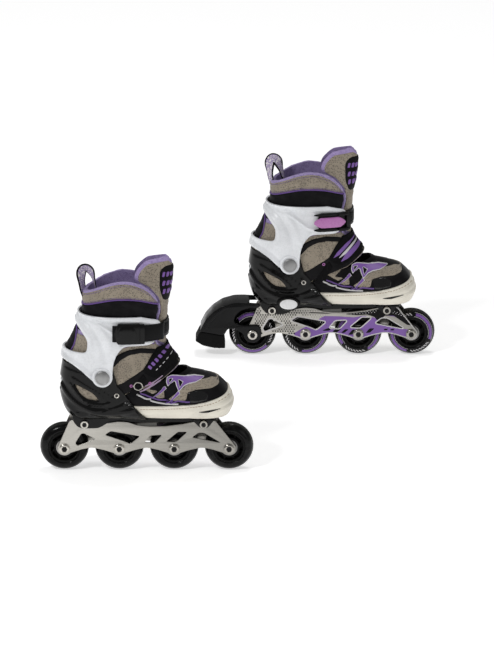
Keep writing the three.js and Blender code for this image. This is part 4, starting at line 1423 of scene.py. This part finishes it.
base_plate = leg_band(-1.44, -0.72, level(CUFF_OUTER + 0.5), level(CUFF_OUTER + 3.6), 185, 211, 24, 1.3, 0.1)
cheeks = [leg_band(-1.02, -0.72, level(CUFF_OUTER + 2.8), level(CUFF_OUTER + 8.0), z0, z1, 10, 1.6, 0.16)
          for z0, z1 in ((185, 190.2), (206.8, 211))]
nose = leg_band(-0.8, -0.68, level(CUFF_OUTER + 0.6), level(CUFF_OUTER + 6.4), 185.6, 210.4, 6, 1.6)
rails = [leg_band(-1.5, -1.02, level(CUFF_OUTER + 2.8), level(CUFF_OUTER + 5.2), z0, z1, 14, 1.0, 0.2)
         for z0, z1 in ((185.4, 190), (207, 210.8))]
piece("buckle_housing", join(base_plate, *cheeks, nose, *rails), "ankle", BLACK_MATTE,
      ["buckle_base"])
lever = leg_band(-1.5, -0.86, level(CUFF_OUTER + 4.7), level(CUFF_OUTER + 8.6), 191.6, 205.6, 30, 2.2, 0.2)
piece("buckle_lever_grip", lever, "lever", LILAC_PLASTIC, ["buckle_lever"])


def soft_piece(name, geometry, look, replaces=()):
    """A piece of the padded boot on each skate, with its place baked into the mesh and no body to ride on."""
    for side in SIDES:
        obj = make_object(f"{side}_{name}", geometry, look, side == "left", ORIGIN[side], 50)
        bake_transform(obj)
        if replaces:
            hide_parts(*[f"{side}_{node}" for node in replaces])


COLLAR_TOP = [(-125, 243), (-84, 246), (-74, 250), (-64, 255), (-55, 259), (-46, 262), (-38, 264), (-30, 265),
              (-17.4, 263.6), (-6, 260), (2.6, 254.2), (10, 247), (14.6, 239.6), (16.6, 230), (16.1, 221.7),
              (12.4, 210), (9.2, 199.7), (9.4, 194)]
LINER_SIDE = np.array(COLLAR_TOP + [(14, 180), (26, 165), (42, 158), (50, 150.5), (20, 130.4), (8, 126.4),
                                    (-29.8, 112.4), (-30.3, 98), (-40.5, 98), (-40.5, 60), (-125, 60)], float)
TONGUE_SIDE = rounded([(9.8, 194.5), (9.5, 200), (16.9, 222), (15.4, 240), (3.4, 254.8), (-16.6, 264.3),
                       (-13, 275), (-3, 285.5), (8, 292), (18, 294.6), (26, 293), (33, 286), (60, 262),
                       (60, 166), (24, 168), (13, 182)], 5, 5)


def wrinkles(points):
    """Soft unevenness of the padding, from crossing waves."""
    x, y, z = points.T
    return (0.35 * np.sin(x * 0.31 + z * 0.17 + np.sin(z * 0.11) * 2) * np.sin(z * 0.23 - x * 0.09)
            + 0.22 * np.sin(x * 0.12 - z * 0.36 + y * 0.05))


def liner_body():
    patch = Patch((0.3, 10.9), (-math.pi, math.pi), (140, 110), outline_field(LINER_SIDE))
    return patch.thicken(-3.4, 3.0, lambda p, f: wrinkles(p), 3.0)


soft_piece("liner_padding", liner_body(), LAVENDER_MESH, ["boot_liner", "liner_collar"])


SWELL_WIDTH = 4.0


def cover(outline, stations, cells, height=0.9, inner=2.2, outer=3.8, turns=(-math.pi, math.pi)):
    """A foam-backed panel that swells by height between its seams."""
    def swell(points, f):
        return height * (1 - np.exp(-np.maximum(f, 0) / SWELL_WIDTH)) + wrinkles(points)
    return Patch(stations, turns, cells, outline_field(outline)).thicken(inner, outer, swell, 0.7)


# Seams of the collar, seen from the side: the binding, the piping over the black band, and the
# lower edge of that band, hidden in the cuff.
BINDING = [(-125, 240), (-84, 243), (-72, 248), (-62, 252.6), (-46, 259.2), (-30, 262), (-15, 260),
           (1.6, 251), (13.4, 236)]
BAND_TOP = [(-125, 224), (-88, 226), (-74, 231), (-62, 236), (-46, 240.6), (-28, 242), (-8, 240.4),
            (13.2, 234)]
FRONT_EDGE = [(13.8, 226), (9.6, 208), (7, 198), (7, 186)]
taupe_band = np.array(smooth_line(BINDING, 4).tolist() + smooth_line(BAND_TOP, 4).tolist()[::-1])
soft_piece("collar_mesh", cover(taupe_band, (0.5, 4.2), (80, 140)), TAUPE_MESH)
black_band = np.array(smooth_line([(x, z - 0.8) for x, z in BAND_TOP], 4).tolist() + FRONT_EDGE
                      + [(-60, 190), (-125, 200)])
soft_piece("collar_band", cover(black_band, (1.1, 5.2), (70, 140), 1.4), BLACK_FABRIC)
LOWER_EDGE = [(20, 131), (8, 127), (-29, 113), (-31, 99), (-41, 98), (-41, 62), (-125, 62)]
taupe_lower = np.array([(-125, 203), (-60, 193), (6.8, 188), (11, 178), (22, 166), (38, 158), (47, 150)]
                       + LOWER_EDGE)
soft_piece("ankle_mesh", cover(taupe_lower, (4.0, 10.8), (90, 120), 0.7), TAUPE_MESH)
FRONT_PIPING = [(14.4, 235), (15, 226), (11.4, 210), (8.4, 200), (8.4, 188), (12, 178)]
soft_piece("collar_piping", piping_pair(BAND_TOP[1:], 4.3, 1.1), PURPLE_PIPING)
soft_piece("front_piping", piping_pair(FRONT_PIPING, 3.6, 1.0), LAVENDER_MESH)
soft_piece("collar_stitching", both_sides(lambda hand: join(
    stitches([(x, z - 2.2) for x, z in BINDING[1:]], hand, 4.8, 1.8, 3.0, 0.26),
    stitches([(x, z + 2.6) for x, z in BAND_TOP[1:]], hand, 4.8, 1.8, 3.0, 0.26))), STITCH_PURPLE)
ANKLE_ARC = [(-46, 158), (-37, 167.5), (-24, 173.5), (-8, 175.5), (8, 172.5), (22, 165), (22, 159), (8, 166),
             (-8, 169), (-22, 167), (-33, 161), (-43, 150)]
ANKLE_PIPING = [(-44, 168), (-36, 175), (-22, 179.6), (-6, 181), (8, 180)]
soft_piece("ankle_arc", decal_pair([rounded(ANKLE_ARC, 2, 3)], 4.6, 0.9), BLACK_FABRIC)
soft_piece("ankle_piping", piping_pair(ANKLE_PIPING, 4.6, 0.9), PURPLE_PIPING)
LOWER_BLACK = [(-40, 99), (-44, 122), (-38, 126), (-28, 131), (-10, 143), (10, 156.5), (18, 163), (34, 158),
               (48, 152.2), (20, 132), (8, 127.8), (-29.4, 113.4), (-31, 99)]
soft_piece("instep_fabric", decal_pair([rounded(LOWER_BLACK, 2, 3)], 4.2, 0.9), VAMP_BLACK)
REAR_LABEL = rounded([(-110, 206), (-92, 206), (-86, 199), (-90, 176), (-97, 164), (-120, 164)], 2, 3)
soft_piece("rear_label", cover(REAR_LABEL, (2.8, 6.2), (50, 80), 0.6, 3.0, 4.8), BLACK_FABRIC)
REAR_PIPING = [(-87, 204), (-86.5, 196), (-90, 178), (-96, 165)]
soft_piece("rear_piping", piping_pair(REAR_PIPING, 5.2, 0.9), PURPLE_PIPING)

# The tongue: a lavender foam pad with a mesh face and a black badge.
def narrowed(geometry):
    """The tongue's free end is narrower than the leg form."""
    vertices, *rest = geometry
    rise = np.clip((vertices[:, 2] - 226) / 62, 0, 1)
    vertices = vertices.copy()
    vertices[:, 1] *= 1 - 0.62 * rise * rise * (3 - 2 * rise)
    return vertices, *rest


tongue_patch = Patch((0.3, 6.6), (-2.1, 2.1), (110, 90), outline_field(TONGUE_SIDE))
soft_piece("tongue_pad", narrowed(tongue_patch.thicken(-3.4, 2.9, lambda p, f: wrinkles(p) * 0.7, 3.4)),
           LAVENDER_PAD, ["tongue"])
TONGUE_FACE = rounded([(13, 182), (11, 200), (17.4, 222), (15.9, 240.2), (4, 255.2), (-12, 263), (-9.4, 273),
                       (-0.6, 282), (10, 288), (19, 290.4), (25, 288.6), (31, 283), (62, 258), (62, 168),
                       (26, 170)], 5, 5)
soft_piece("tongue_mesh",
           narrowed(cover(TONGUE_FACE, (0.4, 6.5), (90, 80), 1.1, 2.0, 3.5, turns=(-2.0, 2.0))), TAUPE_MESH)
BADGE = rounded([(15, 274), (15.4, 250), (20, 236), (60, 236), (60, 284), (22, 281)], 5, 5)
BADGE_SPAN = (0.5, 4.0)
soft_piece("tongue_badge", narrowed(cover(BADGE, BADGE_SPAN, (50, 60), 0.5, 3.6, 5.2, turns=(-1.3, 1.3))),
           BLACK_FABRIC)


def badge_marks():
    """Generic slanted bars on the badge, with no lettering."""
    marks = []
    for z in (270, 259, 249):
        for x0 in (17.6, 22.0, 25.6):
            bar = [(x0, z - 3.0), (x0 + 2.6, z - 3.0), (x0 + 3.8, z + 3.0), (x0 + 1.2, z + 3.0)]
            marks.append(decal_pair([rounded(bar, 0.5, 2)], 5.6, 0.5, 1.0))
    return narrowed(join(*marks))


soft_piece("badge_marks", badge_marks(), PRINT_PURPLE)


LOOP_TWIST = 0.9


def pull_loop(offset, half_width, thickness):
    """Webbing that stands in a loop at the back of the collar."""
    path = smooth_line([(-80.6, 0, 234), (-83.6, 0, 250), (-85, 0, 263), (-84.4, 0, 272), (-80.4, 0, 276.4),
                        (-74.6, 0, 273.6), (-70, 0, 263), (-65.6, 0, 246)], 6)
    section = [(-half_width, -thickness / 2), (half_width, -thickness / 2), (half_width, thickness / 2),
               (-half_width, thickness / 2)]
    centre = np.array([-76.5, 0, 258])
    ups = path - centre
    ups[:, 1] = 0
    ups /= np.linalg.norm(ups, axis=1)[:, None]
    tilt = LOOP_TWIST * np.sin(np.linspace(0, math.pi, len(path)))[:, None]
    ups = ups * np.cos(tilt) + np.array([0, -1, 0]) * np.sin(tilt)
    return swept(path + ups * offset, section, up=ups)


soft_piece("pull_loop_tape", pull_loop(0, 7.6, 1.1), WEB_BLACK)
soft_piece("pull_loop_face", join(pull_loop(0.7, 5.4, 0.5), pull_loop(-0.7, 5.4, 0.5)), LOOP_LAVENDER)

# ------------------------------------------------------------------ instep strap and laces
STRAP_SIDE = rounded([(18, 186), (46, 170), (48, 157), (17, 136), (10, 133.4), (0, 138.6), (-6, 144.6)], 3, 4)


def instep_strap():
    """The 45 degree strap over the instep, with a raised line near each edge."""
    patch = Patch((5.0, 9.6), (-2.4, 2.4), (90, 110), outline_field(STRAP_SIDE))
    ribs = [([(-3, 144), (16, 174), (28, 184)], 0.4, 0.8), ([(14, 137), (32, 150), (46, 160)], 0.4, 0.8)]
    return patch.thicken(4.1, 6.2, side_relief(*ribs), 0.9)


piece("instep_strap_band", instep_strap(), "chassis", WEB_BLACK, ["instep_strap"])
LEAVES = [[(0, 144.6), (8, 148.6), (20, 160), (27, 169), (16, 162.6), (5, 152.6)],
          [(10, 138.6), (20, 142.6), (32, 152.6), (40, 162.6), (28, 157.6), (16, 149)]]
piece("strap_leaves", join(*[decal(rounded(leaf, 1.2, 3), LATERAL, 6.2, 0.4, 1.0) for leaf in LEAVES]),
      "chassis", PRINT_PURPLE)
SLIVER = [(7, 143.6), (16, 148.6), (29, 161.6), (34, 167), (23, 160), (12, 150)]
piece("strap_sliver", decal(rounded(SLIVER, 0.8, 3), LATERAL, 6.3, 0.4, 1.0), "chassis", PRINT_WHITE)


def strap_bars(width, gap, count):
    """A row of generic slanted bars up the middle of the strap's medial side."""
    bars = []
    for k in range(count):
        x, z = 4 + k * gap * 0.72, 148 + k * gap * 0.74
        bar = [(x, z - width * 0.5), (x + width * 0.5, z), (x - width * 0.35, z + width * 0.9),
               (x - width * 0.9, z + width * 0.4)]
        bars.append(decal(rounded(bar, 0.5, 2), MEDIAL, 6.2, 0.4, 0.9))
    return join(*bars)


piece("strap_marks", strap_bars(4.6, 5.4, 6), "chassis", PRINT_PURPLE)


def strap_dashes(count):
    """A row of short white dashes below the bars."""
    dashes = []
    for k in range(count):
        corners = [(11, 143.6), (13.4, 145.6), (12.8, 146.4), (10.4, 144.4)]
        dash = rounded([(x + k * 4, z + k * 3.6) for x, z in corners], 0.3, 2)
        dashes.append(decal(dash, MEDIAL, 6.2, 0.4, 0.8))
    return join(*dashes)


piece("strap_dashes", strap_dashes(6), "chassis", PRINT_WHITE)

RING_SIDE = [(-15, 121), (-9.6, 119.6), (-5.4, 123.4), (-8, 128.6), (-13.4, 129.6), (-16.6, 125.6),
             (-15, 121)]
piece("strap_ring", cord_on_form(RING_SIDE, MEDIAL, 6.0, 0.9), "chassis", BRIGHT_STEEL)
ELASTIC = [(-24, 112), (-17, 108.6), (-6, 122), (0, 133), (-5, 141), (-12, 132)]
piece("strap_elastic", decal_pair([rounded(ELASTIC, 1.5, 3)], 5.2, 0.9), "chassis", WEB_BLACK)
LACE_RUNS = [[(-4, 119), (8, 124.6), (18, 131)], [(-2, 124), (10, 129.6), (20, 136)],
             [(-9, 116.6), (1, 121), (9, 128)]]
piece("lace_runs", join(*[cord_on_form(run, MEDIAL, 4.6, 0.9) for run in LACE_RUNS]), "chassis", LACE_LILAC)
EYELETS = [(-12, 137), (-20, 125), (4, 127.4)]


def eyelets(hand):
    """Small raised rings beside the laces."""
    rings = []
    for x, z in EYELETS[:1] if hand == LATERAL else EYELETS[1:]:
        rings.append(cord_on_form([(x + 1.5 * math.cos(a), z + 1.5 * math.sin(a))
                                   for a in np.linspace(0, 2 * math.pi, 9)], hand, 5.6, 0.5))
    return join(*rings)


piece("lace_eyelets", both_sides(eyelets), "chassis", LILAC_PLASTIC)

# ------------------------------------------------------------------ graphics of the sliding toe
def toe_decal(name, outlines, offset, look, holes=(), size=1.4):
    shapes = [rounded(points, 1.2, 3) for points in outlines]
    cut = [rounded(points, 0.8, 3) for points in holes]
    piece(name, decal_pair(shapes, offset, size=size, holes=cut), "toe", look)


CREST = [(26.6, 133), (32, 134.4), (37, 133.6), (44, 132), (51, 130.5), (62, 130.4), (75, 128.4), (64, 124.8),
         (55, 124), (48.6, 121.6), (42.5, 116), (39.6, 122), (38.3, 126), (35.2, 128.4), (31, 124.6),
         (28, 121.6), (26, 127)]
CREST_HOLES = [[(28, 131.4), (34.4, 131), (29.4, 124.4)], [(40.6, 129), (48.4, 125.4), (43.2, 119)]]
GREY_PANELS = [
    [(-8, 122.4), (6, 129.6), (12, 128), (3, 119), (15, 116), (8, 112.6)],
    [(11, 109.8), (22.5, 119), (24, 108.4), (16, 107.6)],
    [(28, 106.4), (40, 114), (52, 121.6), (66, 126.4), (84, 127), (92, 124.4), (93.6, 120.6), (84, 118.2),
     (66, 117.4), (54, 114.6), (52, 106), (40, 104.6)],
]
SPIKE_TAPER = (1.0, 0.15)
SPIKES = [strip_outline(line, 3.4, SPIKE_TAPER)
          for line in ([(24.6, 120), (17, 113.6), (9, 108.6)], [(42.6, 114.6), (36, 108.6), (30, 103.4)])]
SPIKE_EDGES = [strip_outline(line, 4.3, SPIKE_TAPER)
               for line in ([(25.2, 120.4), (17, 113.6), (8.2, 108.2)],
                            [(43.2, 115), (36, 108.6), (29.4, 103)])]
OVERLAY = [(55.1, 112.6), (57, 115.2), (72.3, 116), (80, 112.5), (79, 106.6), (66, 103.6), (58, 102.6)]


def grown(points, by):
    """An outline pushed outwards, for a border round it."""
    p = np.array(points, float)
    before, after = np.roll(p, 1, axis=0), np.roll(p, -1, axis=0)
    tangent = after - before
    area = np.sum(before[:, 0] * p[:, 1] - p[:, 0] * before[:, 1])
    normal = np.stack([tangent[:, 1], -tangent[:, 0]], 1) * np.sign(area)
    return p + normal / np.maximum(np.linalg.norm(normal, axis=1), 1e-9)[:, None] * by


toe_decal("toe_panels", GREY_PANELS, 2.8, TAUPE_MESH)
toe_decal("toe_crest_edge", [grown(CREST, 0.9)], 2.9, PRINT_WHITE,
          [grown(hole, -0.9) for hole in CREST_HOLES], 0.8)
toe_decal("toe_crest", [CREST], 3.05, PRINT_PURPLE, CREST_HOLES, 0.8)
piece("toe_spike_edges", decal_pair(SPIKE_EDGES, 2.95, size=0.6), "toe", PRINT_WHITE)
piece("toe_spikes", decal_pair(SPIKES, 3.1, size=0.6), "toe", PRINT_PURPLE)
toe_decal("toe_overlay", [OVERLAY], 2.8, OVERLAY_BLACK)
TOE_PURPLE_LINE = [(-8, 114.4), (6, 109), (18, 105.8), (36, 103.8), (57, 104)]
TOE_WHITE_LINE = [(-17, 116), (-6, 109.4), (8, 104), (24, 101.2), (42, 100.8)]
piece("toe_piping_purple", piping_pair(TOE_PURPLE_LINE, 3.3, 1.0), "toe", PURPLE_PIPING)
piece("toe_piping_white", piping_pair(TOE_WHITE_LINE, 3.3, 1.1), "toe", PIPING_WHITE)

# ------------------------------------------------------------------ heel brake, right skate only
REAR_AXLE = AXLE_CENTRES[0]


def brake_arm():
    """Two cheeks joined over the wheel by an arched fender."""
    cheek = ([(-98.5, 76), (-120, 77.5), (-133, 77.2), (-149, 72.6), (-162, 63.6), (-172, 52.5),
              (-178.5, 39.5), (-179, 36), (-147, 30.4), (-141.5, 40), (-131, 40)]
             + arc(REAR_AXLE, 12, 180, 360, 14)
             + [(-96, 40), (-101, 45.6), (-116, 44.6), (-127, 46), (-133.6, 50), (-131.6, 58), (-124, 66),
                (-112, 69.8), (-98.5, 70)])
    cheeks = [plate(rounded(cheek, 3), [circle(REAR_AXLE, 4.4, 20)], *span, bevel=1.2)
              for span in ((BRAKE_INNER, BRAKE_OUTER), (-BRAKE_OUTER, -BRAKE_INNER))]
    rib = [(-104, 74), (-120, 75), (-133, 74.6), (-147.6, 70.4), (-159.6, 61.8), (-169.4, 51), (-175, 39.6),
           (-171, 38.8), (-165.6, 49), (-156.6, 59), (-146, 66.6), (-132.4, 70.8), (-120, 71.6), (-104, 71.4)]
    ribs = [plate(rounded(rib, 1), [], *span, bevel=0.4)
            for span in ((BRAKE_OUTER - 0.3, BRAKE_OUTER + 0.9), (-BRAKE_OUTER - 0.9, -BRAKE_OUTER + 0.3))]
    fender = rounded([(-112, 76.8), (-120, 77.4), (-133, 77.2), (-149, 72.6), (-162, 63.6), (-172, 52.5),
                      (-178.5, 39.5), (-179, 36), (-147, 30.4), (-143.5, 37), (-146, 48), (-138, 60),
                      (-124, 68), (-112, 70)], 3)
    return join(*cheeks, *ribs, plate(fender, [], -BRAKE_OUTER + 0.1, BRAKE_OUTER - 0.1, 1.4))


piece("brake_holder", brake_arm(), "chassis", BLACK_MATTE, ["brake_arm"], ["right"], 38)
PAD_SIDE = [(-179.4, 35.4), (-186, 22), (-176, 15.5), (-160, 11.8), (-145, 11.4), (-147, 29.4)]
pad = plate(rounded(PAD_SIDE, 2), [], -17, 17, 1.2)
grips = [block((x, -16.4, z - 0.4), (x + 1.2, 16.4, z + 0.9), 0.3)
         for x, z in ((-172, 14.7), (-166, 13.2), (-160, 12.0), (-154, 11.7))]
piece("brake_pad_rubber", join(pad, *grips), "chassis", RUBBER, ["brake_pad"], ["right"])

# ------------------------------------------------------------------ setting, camera and light
scene = bpy.context.scene
scene.view_settings.view_transform = "Standard"
AIM = Vector((0.008, 0, 0.112))
ELEVATION = math.radians(17.5)
DISTANCE = 13.0
FRAME_HEIGHT = 0.880
SENSOR_HEIGHT = 36
OBJECT_MIDDLE = (0, 0, 0.12)
WHITE = (1, 1, 1, 1)


def area_light(name, location, target, size, power):
    data = bpy.data.lights.new(name, "AREA")
    data.energy, data.size = power, size
    obj = bpy.data.objects.new(name, data)
    obj.location = location
    obj.rotation_euler = (Vector(target) - Vector(location)).to_track_quat("-Z", "Y").to_euler()
    scene.collection.objects.link(obj)
    return obj


floor_mesh = bpy.data.meshes.new("floor")
reach = 9
floor_mesh.from_pydata([(-reach, -reach, 0), (reach, -reach, 0), (reach, reach, 0), (-reach, reach, 0)],
                       [], [(0, 1, 2, 3)])
floor = bpy.data.objects.new("floor", floor_mesh)
scene.collection.objects.link(floor)
floor_look = Look("floor_paper", 0.9)
floor_look.bsdf.inputs["Emission Color"].default_value = WHITE
floor_look.bsdf.inputs["Emission Strength"].default_value = 0.5
floor_look.color(floor_look.mix(floor_look.noise(3.0, 3), (0.93, 0.93, 0.93, 1), (0.96, 0.96, 0.96, 1)))
floor_mesh.materials.append(floor_look.done())
key = area_light("key", (-2.2, -2.4, 3.2), OBJECT_MIDDLE, 0.7, 64)
fill = area_light("fill", (3.0, -2.8, 1.6), OBJECT_MIDDLE, 2.0, 9)
top = area_light("top", (0.3, 0.6, 3.6), (0, 0, 0), 0.8, 26)

world = bpy.data.worlds.new("studio")
world.use_nodes = True
background = world.node_tree.nodes["Background"]
background.inputs["Color"].default_value = WHITE
background.inputs["Strength"].default_value = 0.28
scene.world = world

camera_data = bpy.data.cameras.new("camera")
camera_data.sensor_fit = "VERTICAL"
camera_data.sensor_height = SENSOR_HEIGHT
camera_data.clip_end = 60
camera_data.lens = SENSOR_HEIGHT * DISTANCE / FRAME_HEIGHT
camera = bpy.data.objects.new("camera", camera_data)
camera.location = AIM + Vector((0, -math.cos(ELEVATION), math.sin(ELEVATION))) * DISTANCE
camera.rotation_euler = (AIM - camera.location).to_track_quat("-Z", "Y").to_euler()
scene.collection.objects.link(camera)
scene.camera = camera
